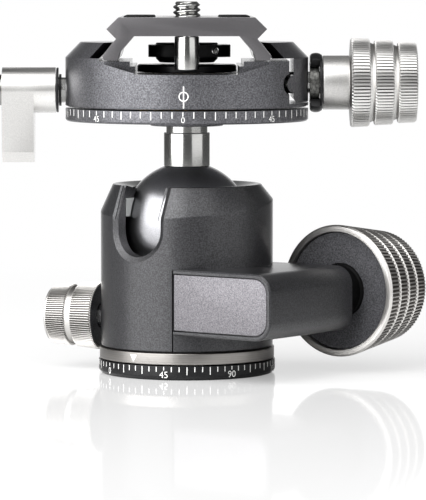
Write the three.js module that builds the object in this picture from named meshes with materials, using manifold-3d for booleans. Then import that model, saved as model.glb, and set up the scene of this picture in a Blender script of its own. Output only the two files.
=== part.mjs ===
// A ball head with a panning quick-release clamp, for a tripod and a camera. Millimetres, +Z up.
// The head is drawn about its pan axis and then set down with the middle of its footprint on the origin.
import * as THREE from 'three';
import { mergeVertices } from 'three/addons/utils/BufferGeometryUtils.js';
import Module from 'manifold-3d';

const wasm = await Module();
wasm.setup();

// Fits shared by the whole head
const runningGap = 0.3;
const seatGap = 0.15;
const partingGap = 0.25;
const overrun = 2;

// How finely round things are cut
const largeSides = 48;
const mediumSides = 28;
const innerSides = 16;
const smallSides = 12;
const ballSides = 24;
const cornerSteps = 3;

// Tripod base
const baseLap = 0.5;
const baseThickness = 3.3;
const baseChamfer = 0.8;
const bushingRadius = 6.3;
const bushingBoreRadius = 4.15;
const bushingRecess = 0.3;
const bushingWall = 1.4;
const slipWasherThickness = 0.7;
const indexRingWidth = 3.3;
const indexRingHeight = 2.6;
const brakeGrooveDepth = 0.8;
const brakeGrooveHalfWidth = 1.9;
const ringNutLap = 1.5;
const ringNutThickness = 1.5;

// Housing
const housingWall = 3.45;
const carrierSkin = 2.85;
const carrierWall = 5.6;
const carrierTopClearance = 0.5;
const carrierHeight = 11.2;
const rimInset = 2.85;
const shoulderDropAtNotch = 7.2;
const shoulderDropAtBack = 2.7;
const lipThickness = 2.8;
const mouthInset = 3;
const throatInset = 1.1;
const notchWidth = 12.2;
const housingTurn = THREE.MathUtils.degToRad(-36.87);

// Ball, its seats and its stem
const ballRadius = 15;
const ballCrown = 5;
const ballFloorGap = 1.05;
const seatWall = 1.6;
const upperSeatHeight = 4.2;
const cupHeight = 8;
const cupHoleInset = 7.5;
const cupConeHeight = 4.1;
const stemRadius = 5.35;
const stemShoulderHeight = 21.9;
const stemNeckRadius = 4.8;
const stemNeckHeight = 1.4;
const stemChamfer = 0.5;
const stemStudRadius = 4;

// Locking arm on the side of the housing
const armFrontInset = 2.25;
const armBackInset = 4.95;
const armOverhang = 16.55;
const armHeight = 15.1;
const armBottomDrop = 3.9;
const armEdgeRadius = 4.3;
const armBoreRadius = 4.6;
const lockAxisInset = 7;
const lockAxisRise = 1.25;
const coverRim = 0.9;
const coverGap = 0.25;
const coverThickness = 1.6;
const coverInset = 0.1;
const lockShaftRadius = 2.4;
const wedgeLength = 8;
const wedgeTaper = 1;
const pusherRadius = 2.6;
const pusherTipRadius = 0.8;
const shaftBushLength = 6;

// Main locking knob
const mainKnobRadius = 15.45;
const mainKnobBackRadius = 13.1;
const mainKnobLength = 18.2;
const mainKnobStandoff = 3.4;
const mainKnobBevelLength = 0.5;
const mainKnobFaceRadius = 13.75;
const mainKnobCollarRadius = 7.6;
const mainKnobNeckRadius = 5.6;
const mainKnobDish = 0.8;
const mainKnobFaceInset = 1;
const mainKnobEdge = 0.4;
const mainKnobBands = 4;
const mainKnobGroove = 0.6;
const mainKnobGrooveDepth = 0.5;
const mainKnobFaceThickness = 3.2;
const mainKnobCapRadius = 10.5;
const mainKnobCapThickness = 1.6;

// Pan lock knob
const panLockHeight = 12.5;
const panLockAngle = THREE.MathUtils.degToRad(197);
const panScrewRadius = 2.8;
const panKnobStandoff = 1.3;
const panKnobLength = 12.3;
const panKnobRadius = 8;
const panKnobEndRadius = 6.75;
const panKnobRingWidth = 1.3;
const panKnobRingDepth = 0.45;
const panKnobRimWidth = 0.8;
const panKnobFaceThickness = 0.9;
const panShoeLength = 1.6;

// Graduated disc under the clamp
const discThickness = 3;
const discChamfer = 0.4;
const discBossRadius = 8.4;
const discBossHeight = 1.2;
const pivotBoltRadius = 2;
const pivotHeadRadius = 3.6;
const pivotHeadHeight = 2.4;
const pivotBoltDepth = 6;
const capThickness = 1.8;
const capEdge = 0.5;
const capScrewRadius = 1.4;
const capScrewReach = 6.2;
const capScrewDepth = 1.2;

// Clamp
const channelHeight = 7.8;
const channelInset = 7.2;
const ledgeStep = 1.1;
const bedHeight = 10.7;
const jawHeight = 14.9;
const jawBevelDrop = 3.6;
const jawBevelRun = 3.5;
const jawGap = 0.3;
const jawUndercut = 0.65;
const leadInFlare = 2.6;
const leadInLength = 8;
const rimRampLap = 1.9;
const rimRampDrop = 2.65;
const rimRampLength = 7.2;
const jawShoulder = 9.2;
const jawThickness = 4.8;
const lowLedgeHeight = 0.9;
const noseRadius = 2;
const noseDepth = 1.5;
const socketDepth = 1.4;
const jawSideGap = 1;
const jawFootGap = 0.25;
const jawLipGap = 0.6;
const jawFootRadius = 0.8;
const clampWasherInset = 12.1;
const clampWasherWidth = 6.6;
const clampWasherThickness = 0.85;
const clampScrewRadius = 2.5;
const clampScrewHeight = 5.4;
const guidePinRadius = 1.5;
const guidePinSpread = 8.5;
const guidePinLength = 12.8;
const guidePinWall = 2.6;
const springPocketRadius = 2.9;
const springPocketDepth = 6;
const springWall = 0.6;

// Clamp knob
const sleeveRadius = 4.1;
const yokeRadius = 6.5;
const yokePlate = 0.5;
const yokeLugWidth = 1.8;
const yokeLugHalfAngle = THREE.MathUtils.degToRad(38);
const yokeLugLength = 2.3;
const collarRadius = 6.3;
const collarStandoff = 3.3;
const collarLength = 5.7;
const clampKnobStandoff = 0.8;
const clampBandRadii = [10.35, 9.9, 9.4];
const clampBandLength = 4.4;
const clampBandGroove = 1.05;
const clampBandGrooveDepth = 1;
const clampBandEdge = 0.35;
const clampKnobEndDrop = 0.3;
const clampKnobCapRadius = 6.8;
const clampKnobCapThickness = 0.9;

// Lever that locks the clamp's panning
const leverHeight = 3.7;
const leverShaftRadius = 2.9;
const leverStandoff = 2.05;
const leverWasherThickness = 0.5;
const leverWasherRadius = 5.2;
const leverSpringWasherRadius = 3.7;
const leverHubRadius = 5.3;
const leverHubLength = 12.4;
const leverArmWidth = 7.4;
const leverArmDrop = 16.7;
const leverTipHalfWidth = 4.4;
const leverTipChamfer = 2.4;
const leverCapRadius = 3.6;
const leverCapThickness = 0.9;
const leverShoeLength = 1.5;

// Camera plate
const plateToeHalfWidth = 19;
const plateEndInset = 0.2;
const plateTopInset = 3.6;
const plateSideInset = 0.95;
const plateNeckInset = 3.1;
const plateFootInset = 0.4;
const plateInnerFootInset = 3.4;
const plateInnerLegInset = 4;
const plateArchInset = 7.1;
const plateFootGap = 0.4;
const plateToeHeight = 0.9;
const plateInnerLegHeight = 1.8;
const plateSlabHeight = 5.4;
const plateNeckHeight = 4.8;
const plateSideHeight = 7;
const plateHeight = 9.6;
const padInnerEdge = 7.4;
const padWidth = 7;
const padLength = 38;
const padDepth = 0.7;
const padProud = 0.35;
const stopPinRadius = 2.75;
const stopPinHeight = 7.7;
const stopPinInset = 4;
const stopPinChamfer = 0.3;
const stopStudRadius = 1.3;
const stopStudLength = 2.8;

// Camera screw and its folding finger ring
const threadRadius = 3.175;
const threadDepth = 0.7;
const threadPitch = 1.27;
const threadProud = 3.5;
const screwBoreRadius = 3.6;
const screwNeckRadius = 2.3;
const screwHeadRadius = 7.2;
const screwHeadHeight = 4.6;
const screwHeadChamfer = 0.9;
const screwHeadGap = 1.8;
const ringThickness = 2.8;
const ringLeftReach = 8.9;
const ringRightReach = 10.1;
const ringHalfWidth = 9.2;
const ringCornerRadius = 5;
const ringRise = 1.35;
const ringPinRadius = 0.65;
const ringPinReach = 6.6;

// Radii and widths worked out from the ball and the plate
const cavityRadius = ballRadius + seatWall;
const housingRadius = cavityRadius + housingWall;
const carrierRadius = housingRadius - carrierSkin - runningGap;
const baseSpindleRadius = carrierRadius - carrierWall - runningGap;
const baseRadius = housingRadius + baseLap;
const rimRadius = housingRadius - rimInset;
const mouthRadius = ballRadius - mouthInset;
const throatRadius = ballRadius - throatInset;
const cupHoleRadius = ballRadius - cupHoleInset;
const cupFootRadius = cavityRadius - runningGap - cupConeHeight;
const armFront = housingRadius - armFrontInset;
const armBack = housingRadius - armBackInset;
const armReach = housingRadius + armOverhang;
const lockAxisReach = armReach - lockAxisInset;
const discRadius = plateToeHalfWidth + jawShoulder;
const bodySideReach = discRadius - jawThickness;
const clampWasherRadius = discRadius - clampWasherInset;
const spindleRadius = clampWasherRadius - clampWasherWidth;
const channelHalfWidth = plateToeHalfWidth - channelInset;
const ledgeHalfWidth = channelHalfWidth + ledgeStep;
const capRadius = channelHalfWidth - runningGap;
const rimRampOuter = plateToeHalfWidth + rimRampLap;
const plateLength = 2 * (discRadius - plateEndInset);
const plateNeckHalfWidth = plateToeHalfWidth - plateNeckInset;
const stopPinReach = plateLength / 2 - stopPinInset;

// Heights worked out from the sizes above
const indexRingBottom = baseThickness + partingGap;
const indexRingTop = indexRingBottom + indexRingHeight;
const housingBottom = indexRingTop + partingGap;
const carrierBottom = baseThickness + seatGap + slipWasherThickness + seatGap;
const carrierTop = carrierBottom + carrierHeight;
const baseSpindleTop = carrierTop + seatGap;
const ringNutBottom = baseSpindleTop + seatGap;
const ringNutTop = ringNutBottom + ringNutThickness;
const cupBottom = ringNutTop + seatGap + carrierTopClearance;
const ballHeight = cupBottom + ballFloorGap + ballRadius;
const housingTop = ballHeight + ballRadius - ballCrown;
const armBottom = housingBottom + armBottomDrop;
const armTop = armBottom + armHeight;
const lockAxisHeight = (armBottom + armTop) / 2 + lockAxisRise;
const wedgeBigRadius = armBoreRadius - runningGap;
const stemNeckBottom = ballHeight + stemShoulderHeight;
const stemNeckTop = stemNeckBottom + stemNeckHeight;
const discBossBottom = stemNeckTop + seatGap;
const discBottom = discBossBottom + discBossHeight;
const discTop = discBottom + discThickness;
const clampBottom = discTop + partingGap + seatGap;
const channelFloor = clampBottom + channelHeight;
const bedTop = clampBottom + bedHeight;
const jawTop = clampBottom + jawHeight;
const jawCrease = jawTop - jawBevelDrop;
const jawTopRadius = discRadius - jawBevelRun;
const clampScrewAxis = clampBottom + clampScrewHeight;
const leverAxis = clampBottom + leverHeight;
const plateFoot = bedTop + plateFootGap;
const plateSlabBottom = plateFoot + plateSlabHeight;
const plateTop = plateFoot + plateHeight;
const capBottom = channelFloor + seatGap;
const capTop = capBottom + capThickness;

// Finishes
function finish(color, roughness, metalness) {
  return new THREE.MeshStandardMaterial({ color, roughness, metalness });
}
const darkAnodised = finish('#4a4a4d', 0.55, 0.6);
const paleAnodised = finish('#8f8d90', 0.5, 0.6);
const blackAnodised = finish('#1a1a1b', 0.5, 0.5);
const satinAluminium = finish('#c9c8c5', 0.35, 1);
const polishedSteel = finish('#d2d2d0', 0.18, 1);
const ballFinish = finish('#5d5d60', 0.3, 0.8);
const brass = finish('#b08d45', 0.35, 1);
const acetal = finish('#b9bcbb', 0.6, 0);
const blackRubber = finish('#171717', 0.85, 0);

// Joins the corners that faces share, drops faces without area and turns the faces outwards
function welded(geometry) {
  geometry.deleteAttribute('normal');
  geometry.deleteAttribute('uv');
  const merged = mergeVertices(geometry);
  const place = merged.attributes.position;
  const corners = merged.index.array;
  const faces = [];
  const a = new THREE.Vector3();
  const b = new THREE.Vector3();
  const c = new THREE.Vector3();
  let volume = 0;
  for (let i = 0; i < corners.length; i += 3) {
    const [p, q, r] = [corners[i], corners[i + 1], corners[i + 2]];
    if (p === q || q === r || r === p) continue;
    faces.push([p, q, r]);
    a.fromBufferAttribute(place, p);
    b.fromBufferAttribute(place, q);
    c.fromBufferAttribute(place, r);
    volume += a.dot(b.cross(c));
  }
  const outward = volume < 0 ? faces.map(([p, q, r]) => [p, r, q]) : faces;
  merged.setIndex(outward.flat());
  return merged;
}

function solidOf(geometry) {
  const clean = welded(geometry);
  const vertProperties = new Float32Array(clean.attributes.position.array);
  const triVerts = new Uint32Array(clean.index.array);
  return new wasm.Manifold(new wasm.Mesh({ numProp: 3, vertProperties, triVerts }));
}

function geometryOf(solid) {
  const { vertProperties, triVerts } = solid.getMesh();
  const geometry = new THREE.BufferGeometry();
  geometry.setAttribute('position', new THREE.BufferAttribute(new Float32Array(vertProperties), 3));
  geometry.setIndex(Array.from(triVerts));
  return geometry;
}

function cut(body, ...tools) {
  return geometryOf(tools.reduce((solid, tool) => solid.subtract(solidOf(tool)), solidOf(body)));
}

function join(body, ...others) {
  return geometryOf(others.reduce((solid, other) => solid.add(solidOf(other)), solidOf(body)));
}

function common(body, other) {
  return geometryOf(solidOf(body).intersect(solidOf(other)));
}

function mesh(name, geometry, material) {
  const piece = new THREE.Mesh(welded(geometry), material);
  piece.name = name;
  return piece;
}

// A profile of [radius, height] corners turned about Z, starting and ending on the axis or closed on itself
function turned(profile, sides = mediumSides) {
  const points = profile.map(([radius, height]) => new THREE.Vector2(radius, height));
  return new THREE.LatheGeometry(points, sides).rotateX(Math.PI / 2);
}

function ring(inner, outer, low, high, sides = mediumSides) {
  return turned([[inner, low], [outer, low], [outer, high], [inner, high], [inner, low]], sides);
}

function rod(radius, low, high, sides = smallSides) {
  return turned([[0, low], [radius, low], [radius, high], [0, high]], sides);
}

// An outline of [x, y] corners, or a shape, drawn up along Z
function upright(outline, low, high) {
  const corners = Array.isArray(outline) ? outline.map(([x, y]) => new THREE.Vector2(x, y)) : null;
  const shape = corners ? new THREE.Shape(corners) : outline;
  const settings = { depth: high - low, bevelEnabled: false, curveSegments: cornerSteps };
  return new THREE.ExtrudeGeometry(shape, settings).translate(0, 0, low);
}

// The same, with the outline in X and Z, drawn back along Y
function alongY(outline, front, back) {
  return upright(outline, -back, -front).rotateX(Math.PI / 2);
}

function box(left, right, front, back, low, high) {
  return upright([[left, front], [right, front], [right, back], [left, back]], low, high);
}

// A rectangle with four round corners
function roundedOutline(left, right, low, high, radius) {
  const shape = new THREE.Shape();
  shape.absarc(right - radius, low + radius, radius, -Math.PI / 2, 0);
  shape.absarc(right - radius, high - radius, radius, 0, Math.PI / 2);
  shape.absarc(left + radius, high - radius, radius, Math.PI / 2, Math.PI);
  shape.absarc(left + radius, low + radius, radius, Math.PI, 1.5 * Math.PI);
  shape.closePath();
  return shape;
}

// Profile corners along a ball's surface, between two heights above its centre
function ballArc(radius, fromHeight, toHeight, steps) {
  const from = Math.asin(fromHeight / radius);
  const to = Math.asin(toHeight / radius);
  return Array.from({ length: steps + 1 }, (_, i) => {
    const angle = from + ((to - from) * i) / steps;
    return [radius * Math.cos(angle), ballHeight + radius * Math.sin(angle)];
  });
}

// A group whose own Z axis lies along a level direction, given by its angle from X
function levelAxis(x, y, z, angle) {
  const holder = new THREE.Group();
  holder.position.set(x, y, z);
  holder.rotation.set(0, Math.PI / 2, angle, 'ZYX');
  return holder;
}

// Tripod base: the black graduated ring with the spindle that the housing pans on
function baseRing() {
  const bore = bushingRadius + seatGap;
  const groove = baseSpindleRadius - brakeGrooveDepth;
  const profile = [
    [bore, 0],
    [baseRadius - baseChamfer, 0],
    [baseRadius, baseChamfer],
    [baseRadius, baseThickness],
    [baseSpindleRadius, baseThickness],
    [baseSpindleRadius, panLockHeight - brakeGrooveHalfWidth],
    [groove, panLockHeight],
    [baseSpindleRadius, panLockHeight + brakeGrooveHalfWidth],
    [baseSpindleRadius, baseSpindleTop],
    [bore, baseSpindleTop],
    [bore, 0],
  ];
  return mesh('base_ring', turned(profile, largeSides), blackAnodised);
}

// Steel bushing with the tripod's thread, its mouth sunk a little below the foot
function tripodBushing() {
  const top = baseSpindleTop - bushingWall;
  const geometry = ring(bushingBoreRadius, bushingRadius, bushingRecess, top, smallSides);
  return mesh('tripod_bushing', geometry, polishedSteel);
}

// Slotted ring nut that holds the housing down on the spindle
function panRingNut() {
  const outer = baseSpindleRadius + ringNutLap;
  const geometry = ring(bushingRadius, outer, ringNutBottom, ringNutTop, innerSides);
  return mesh('pan_ring_nut', geometry, polishedSteel);
}

function panSlipWasher() {
  const bottom = baseThickness + seatGap;
  const inner = baseSpindleRadius + runningGap;
  const geometry = ring(inner, carrierRadius - seatGap, bottom, bottom + slipWasherThickness, innerSides);
  return mesh('pan_slip_washer', geometry, brass);
}

// Pan lock, drawn about its own screw with the pan axis at the group's origin
function panLockBore(radius, from, to) {
  return rod(radius, from, to).rotateY(Math.PI / 2).rotateZ(panLockAngle).translate(0, 0, panLockHeight);
}

// Aluminium ring pressed into the housing's foot, which runs round the spindle
function bearingCarrier() {
  const inner = baseSpindleRadius + runningGap;
  const bore = panLockBore(panScrewRadius + runningGap, inner - overrun, carrierRadius + overrun);
  const geometry = cut(ring(inner, carrierRadius, carrierBottom, carrierTop, innerSides), bore);
  return mesh('bearing_carrier', geometry, satinAluminium);
}

function indexRing() {
  const inner = carrierRadius + seatGap;
  const outer = inner + indexRingWidth;
  return mesh('index_ring', ring(inner, outer, indexRingBottom, indexRingTop, largeSides), satinAluminium);
}

// Outer skin of the housing: a cylinder whose shoulder starts lower at the notch than at the back
function housingSkin() {
  const middle = housingTop - (shoulderDropAtNotch + shoulderDropAtBack) / 2;
  const swing = (shoulderDropAtNotch - shoulderDropAtBack) / 2;
  const rings = [
    () => [housingRadius, housingBottom],
    (angle) => [housingRadius, middle + swing * Math.sin(angle)],
    () => [rimRadius, housingTop],
  ];
  const corners = [0, 0, housingBottom, 0, 0, housingTop];
  for (const level of rings) {
    for (let i = 0; i < largeSides; i += 1) {
      const angle = (2 * Math.PI * i) / largeSides;
      const [radius, height] = level(angle);
      corners.push(radius * Math.cos(angle), radius * Math.sin(angle), height);
    }
  }
  const faces = [];
  for (let i = 0; i < largeSides; i += 1) {
    const next = (i + 1) % largeSides;
    faces.push(0, 2 + next, 2 + i);
    faces.push(1, 2 + 2 * largeSides + i, 2 + 2 * largeSides + next);
    for (let level = 0; level < 2; level += 1) {
      const low = 2 + level * largeSides;
      const high = low + largeSides;
      faces.push(low + i, low + next, high + next, low + i, high + next, high + i);
    }
  }
  const geometry = new THREE.BufferGeometry();
  geometry.setAttribute('position', new THREE.Float32BufferAttribute(corners, 3));
  geometry.setIndex(faces);
  return geometry;
}

// The drop notch: a slot with a round bottom, open at the top and towards the front
function notchSlot(inset) {
  const half = notchWidth / 2 - inset;
  const shape = new THREE.Shape();
  shape.absarc(0, ballHeight, half, Math.PI, 2 * Math.PI);
  shape.lineTo(half, housingTop + overrun);
  shape.lineTo(-half, housingTop + overrun);
  shape.closePath();
  return alongY(shape, -housingRadius - overrun, -stemRadius);
}

const coverRecessDepth = coverThickness + coverInset;
const coverLeft = Math.sqrt(housingRadius ** 2 - armFront ** 2);

// Square beside the housing, round towards the arm's end
function coverOutline(gap) {
  const left = coverLeft + gap;
  const right = armReach - coverRim - gap;
  const low = armBottom + coverRim + gap;
  const high = armTop - coverRim - gap;
  const radius = armEdgeRadius - coverRim + coverGap - gap;
  const shape = new THREE.Shape();
  shape.absarc(right - radius, low + radius, radius, -Math.PI / 2, 0);
  shape.absarc(right - radius, high - radius, radius, 0, Math.PI / 2);
  shape.lineTo(left, high);
  shape.lineTo(left, low);
  shape.closePath();
  return shape;
}

// Machined housing in one piece with its locking arm, bored for the ball, the pan spindle and both locks
function housing() {
  const arm = alongY(roundedOutline(0, armReach, armBottom, armTop, armEdgeRadius), -armFront, armBack);
  const cavityFloor = carrierTop + carrierTopClearance;
  const cavityTop = housingTop - lipThickness;
  const bore = carrierRadius + seatGap;
  const well = turned([
    [0, housingBottom - overrun],
    [bore, housingBottom - overrun],
    [bore, cavityFloor],
    [cavityRadius, cavityFloor],
    [cavityRadius, cavityTop],
    [throatRadius, cavityTop],
    [mouthRadius, housingTop],
    [mouthRadius, housingTop + overrun],
    [0, housingTop + overrun],
  ]);
  const alongArm = (radius, from, to) => rod(radius, from, to)
    .rotateX(-Math.PI / 2)
    .translate(lockAxisReach, 0, lockAxisHeight);
  const bushSeat = armBack - shaftBushLength;
  const pusherBore = rod(pusherRadius + runningGap, cavityRadius - overrun, lockAxisReach)
    .rotateY(Math.PI / 2)
    .translate(0, 0, lockAxisHeight);
  const geometry = cut(
    join(housingSkin(), arm),
    well,
    notchSlot(0),
    alongY(coverOutline(0), -armFront - overrun, coverRecessDepth - armFront),
    alongArm(armBoreRadius, -armFront, bushSeat),
    alongArm(armBoreRadius, bushSeat - overrun, armBack + overrun),
    pusherBore,
    panLockBore(panScrewRadius + runningGap, cavityRadius - overrun, housingRadius + overrun),
  );
  return mesh('housing', geometry, darkAnodised);
}

// Pale cover over the front end of the locking arm
function endCover() {
  const front = coverInset - armFront;
  const back = coverRecessDepth - armFront - seatGap;
  return mesh('arm_end_cover', alongY(coverOutline(coverGap), front, back), paleAnodised);
}

// Plastic ring that the ball is pressed up against, open at the notch
function upperSeat() {
  const top = housingTop - lipThickness - seatGap - ballHeight;
  const bottom = top - upperSeatHeight;
  const outer = cavityRadius - seatGap;
  const profile = [
    [outer, ballHeight + bottom],
    [outer, ballHeight + top],
    ...ballArc(ballRadius + runningGap, top, bottom, cornerSteps),
    [outer, ballHeight + bottom],
  ];
  return mesh('upper_ball_seat', cut(turned(profile), notchSlot(0)), acetal);
}

// Cup that lifts the ball against the upper seat when its lower cone is pushed inwards
function lowerCup() {
  const outer = cavityRadius - runningGap;
  const top = cupBottom + cupHeight;
  const seat = ballRadius + runningGap;
  const holeHeight = -Math.sqrt(seat ** 2 - cupHoleRadius ** 2);
  const profile = [
    [cupHoleRadius, cupBottom],
    [cupFootRadius, cupBottom],
    [outer, cupBottom + outer - cupFootRadius],
    [outer, top],
    ...ballArc(seat, top - ballHeight, holeHeight, cornerSteps),
    [cupHoleRadius, cupBottom],
  ];
  return mesh('lower_ball_cup', turned(profile), acetal);
}

// Pin between the wedge and the cup's cone, with a tip that lies along the cone
function lockPusher() {
  const tipAt = (radius) => cupFootRadius + (lockAxisHeight + radius - cupBottom) + 2 * runningGap;
  const wedgeDrop = (wedgeTaper * (wedgeLength / 2 - pusherRadius)) / wedgeLength;
  const end = lockAxisReach - wedgeBigRadius + wedgeDrop - runningGap;
  const geometry = turned([
    [0, tipAt(pusherTipRadius)],
    [pusherTipRadius, tipAt(pusherTipRadius)],
    [pusherRadius, tipAt(pusherRadius)],
    [pusherRadius, end],
    [0, end],
  ], smallSides);
  const piece = mesh('lock_pusher', geometry, polishedSteel);
  const holder = levelAxis(0, 0, lockAxisHeight, 0);
  holder.add(piece);
  return holder;
}

// Shaft, tapered nut and bush in the arm, drawn about the locking knob's axis from the arm's back face
function lockAxisGroup(...pieces) {
  const holder = levelAxis(lockAxisReach, armBack, lockAxisHeight, Math.PI / 2);
  holder.add(...pieces);
  return holder;
}

function lockWedge() {
  const middle = -armBack;
  const low = middle - wedgeLength / 2;
  const high = middle + wedgeLength / 2;
  const bore = lockShaftRadius + runningGap;
  const profile = [
    [bore, low],
    [wedgeBigRadius, low],
    [wedgeBigRadius - wedgeTaper, high],
    [bore, high],
    [bore, low],
  ];
  return mesh('lock_wedge', turned(profile, smallSides), polishedSteel);
}

function shaftBush() {
  const bore = lockShaftRadius + runningGap;
  const outer = armBoreRadius - seatGap;
  const geometry = ring(bore, outer, seatGap - shaftBushLength, -seatGap, smallSides);
  return mesh('lock_shaft_bush', geometry, brass);
}

function lockShaft() {
  const back = mainKnobStandoff + mainKnobFaceThickness + mainKnobLength / 2;
  const front = coverRecessDepth + runningGap - armFront - armBack;
  return mesh('lock_shaft', rod(lockShaftRadius, front, back), polishedSteel);
}

// Round collar between the arm and the knob, flared where it meets the knob's face
function mainKnobCollar() {
  const back = mainKnobStandoff + mainKnobFaceThickness - seatGap;
  const flare = mainKnobCollarRadius - mainKnobNeckRadius;
  const flareEnd = mainKnobStandoff + mainKnobFaceInset + mainKnobDish;
  const profile = [[lockShaftRadius + seatGap, runningGap], [mainKnobNeckRadius, runningGap]];
  for (let step = 0; step <= cornerSteps; step += 1) {
    const turn = (step / cornerSteps) * (Math.PI / 2);
    profile.push([mainKnobCollarRadius - flare * Math.cos(turn), flareEnd - flare * (1 - Math.sin(turn))]);
  }
  profile.push(
    [mainKnobCollarRadius, back],
    [lockShaftRadius + seatGap, back],
    [lockShaftRadius + seatGap, runningGap],
  );
  return mesh('main_knob_collar', turned(profile, mediumSides), blackAnodised);
}

// Dished black face that closes the knob towards the arm
function mainKnobFace() {
  const inner = mainKnobCollarRadius + seatGap;
  const back = mainKnobStandoff + mainKnobFaceThickness - seatGap;
  const front = mainKnobStandoff + mainKnobFaceInset;
  const outer = mainKnobFaceRadius - seatGap;
  const profile = [
    [inner, back],
    [outer, back],
    [outer, front],
    [outer - mainKnobEdge, front],
    [inner, front + mainKnobDish],
    [inner, back],
  ];
  return mesh('main_knob_face', turned(profile), blackAnodised);
}

// Knurled aluminium rim of the locking knob: a smooth bevel, then a taper cut into bands by narrow V grooves
function mainKnobRim() {
  const front = mainKnobStandoff;
  const back = front + mainKnobLength;
  const web = front + mainKnobFaceThickness;
  const start = front + mainKnobBevelLength;
  const taper = (mainKnobRadius - mainKnobBackRadius) / (back - start);
  const radiusAt = (reach) => mainKnobRadius - taper * (reach - start);
  const profile = [[mainKnobFaceRadius, front], [mainKnobRadius, start]];
  for (let band = 1; band < mainKnobBands; band += 1) {
    const middle = start + (band / mainKnobBands) * (back - start);
    const low = middle - mainKnobGroove / 2;
    const high = middle + mainKnobGroove / 2;
    profile.push([radiusAt(low), low], [radiusAt(middle) - mainKnobGrooveDepth, middle], [radiusAt(high), high]);
  }
  profile.push(
    [radiusAt(back - mainKnobEdge), back - mainKnobEdge],
    [mainKnobBackRadius - mainKnobEdge, back],
    [mainKnobCapRadius, back],
    [mainKnobCapRadius, back - mainKnobCapThickness],
    [lockShaftRadius + seatGap, back - mainKnobCapThickness],
    [lockShaftRadius + seatGap, web],
    [mainKnobFaceRadius, web],
    [mainKnobFaceRadius, front],
  );
  return mesh('main_knob_rim', turned(profile), satinAluminium);
}

function mainKnobCap() {
  const back = mainKnobStandoff + mainKnobLength - mainKnobEdge;
  const front = back - mainKnobCapThickness + mainKnobEdge + seatGap;
  return mesh('main_knob_cap', rod(mainKnobCapRadius - seatGap, front, back, mediumSides), blackAnodised);
}

// Pan lock screw, shoe and knob, drawn along the screw from the pan axis
const panShoeInner = baseSpindleRadius + runningGap;
const panShoeOuter = panShoeInner + panShoeLength;

function panBrakeShoe() {
  const tip = brakeGrooveDepth - seatGap;
  const tipRadius = brakeGrooveHalfWidth / 2;
  const geometry = turned([
    [0, panShoeInner - tip],
    [tipRadius - seatGap, panShoeInner - tip / 2],
    [panScrewRadius - seatGap, panShoeInner + tipRadius],
    [panScrewRadius - seatGap, panShoeOuter],
    [0, panShoeOuter],
  ], smallSides);
  return mesh('pan_brake_shoe', geometry, acetal);
}

function panLockScrew() {
  const end = housingRadius + panKnobStandoff + panKnobLength / 2;
  return mesh('pan_lock_screw', rod(panScrewRadius, panShoeOuter + seatGap, end), polishedSteel);
}

// Tapered knurled knob with one bright ring sunk round its middle
function panLockKnob() {
  const inner = housingRadius + panKnobStandoff;
  const outer = inner + panKnobLength;
  const bore = panScrewRadius + seatGap;
  const taper = (panKnobRadius - panKnobEndRadius) / panKnobLength;
  const radiusAt = (reach) => panKnobRadius - taper * (reach - inner);
  const ringStart = inner + (panKnobLength - panKnobRingWidth) / 2;
  const ringEnd = ringStart + panKnobRingWidth;
  const sunk = radiusAt(ringStart) - panKnobRingDepth;
  const web = inner + panKnobFaceThickness;
  const profile = [
    [panKnobRadius - panKnobRimWidth, inner],
    [panKnobRadius, inner],
    [radiusAt(ringStart), ringStart],
    [sunk, ringStart],
    [sunk, ringEnd],
    [radiusAt(ringEnd), ringEnd],
    [radiusAt(outer - panKnobRingDepth), outer - panKnobRingDepth],
    [panKnobEndRadius - panKnobRingDepth, outer],
    [0, outer],
    [0, inner + panKnobLength / 2 + seatGap],
    [bore, inner + panKnobLength / 2 + seatGap],
    [bore, web],
    [panKnobRadius - panKnobRimWidth, web],
    [panKnobRadius - panKnobRimWidth, inner],
  ];
  return mesh('pan_lock_knob', turned(profile), satinAluminium);
}

function panKnobFace() {
  const inner = housingRadius + panKnobStandoff + seatGap;
  const outer = inner + panKnobFaceThickness - 2 * seatGap;
  const edge = panKnobRadius - panKnobRimWidth - seatGap;
  return mesh('pan_knob_face', ring(panScrewRadius + seatGap, edge, inner, outer, smallSides), blackAnodised);
}

function ball() {
  const geometry = new THREE.SphereGeometry(ballRadius, ballSides, ballSides / 2).rotateX(Math.PI / 2);
  return mesh('ball', geometry.translate(0, 0, ballHeight), ballFinish);
}

// Polished stem: its hollow foot follows the ball, and its stud carries the graduated disc
function ballStem() {
  const seat = ballRadius + seatGap;
  const rimHeight = Math.sqrt(seat ** 2 - stemRadius ** 2);
  const boltFloor = stemNeckBottom - pivotBoltDepth + stemNeckHeight;
  const foot = ballArc(seat, seat, rimHeight, cornerSteps);
  const profile = [
    ...foot,
    [stemRadius, stemNeckBottom - stemChamfer],
    [stemRadius - stemChamfer, stemNeckBottom],
    [stemNeckRadius, stemNeckBottom],
    [stemNeckRadius, stemNeckTop],
    [stemStudRadius, stemNeckTop],
    [stemStudRadius, discTop - seatGap],
    [pivotBoltRadius + seatGap, discTop - seatGap],
    [pivotBoltRadius + seatGap, boltFloor],
    [0, boltFloor],
  ];
  return mesh('ball_stem', turned(profile), polishedSteel);
}

// Disc with the panning scale round its edge, on a short boss over the stem
function graduatedDisc() {
  const bore = stemStudRadius + seatGap;
  const profile = [
    [bore, discBossBottom],
    [discBossRadius, discBossBottom],
    [discBossRadius + discBossHeight / 2, discBottom],
    [discRadius - discChamfer, discBottom],
    [discRadius, discBottom + discChamfer],
    [discRadius, discTop],
    [bore, discTop],
    [bore, discBossBottom],
  ];
  return mesh('graduated_disc', turned(profile, largeSides), darkAnodised);
}

const spindleBottom = discTop + seatGap;
const pivotHeadTop = channelFloor - seatGap;
const pivotHeadBottom = pivotHeadTop - pivotHeadHeight;

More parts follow.
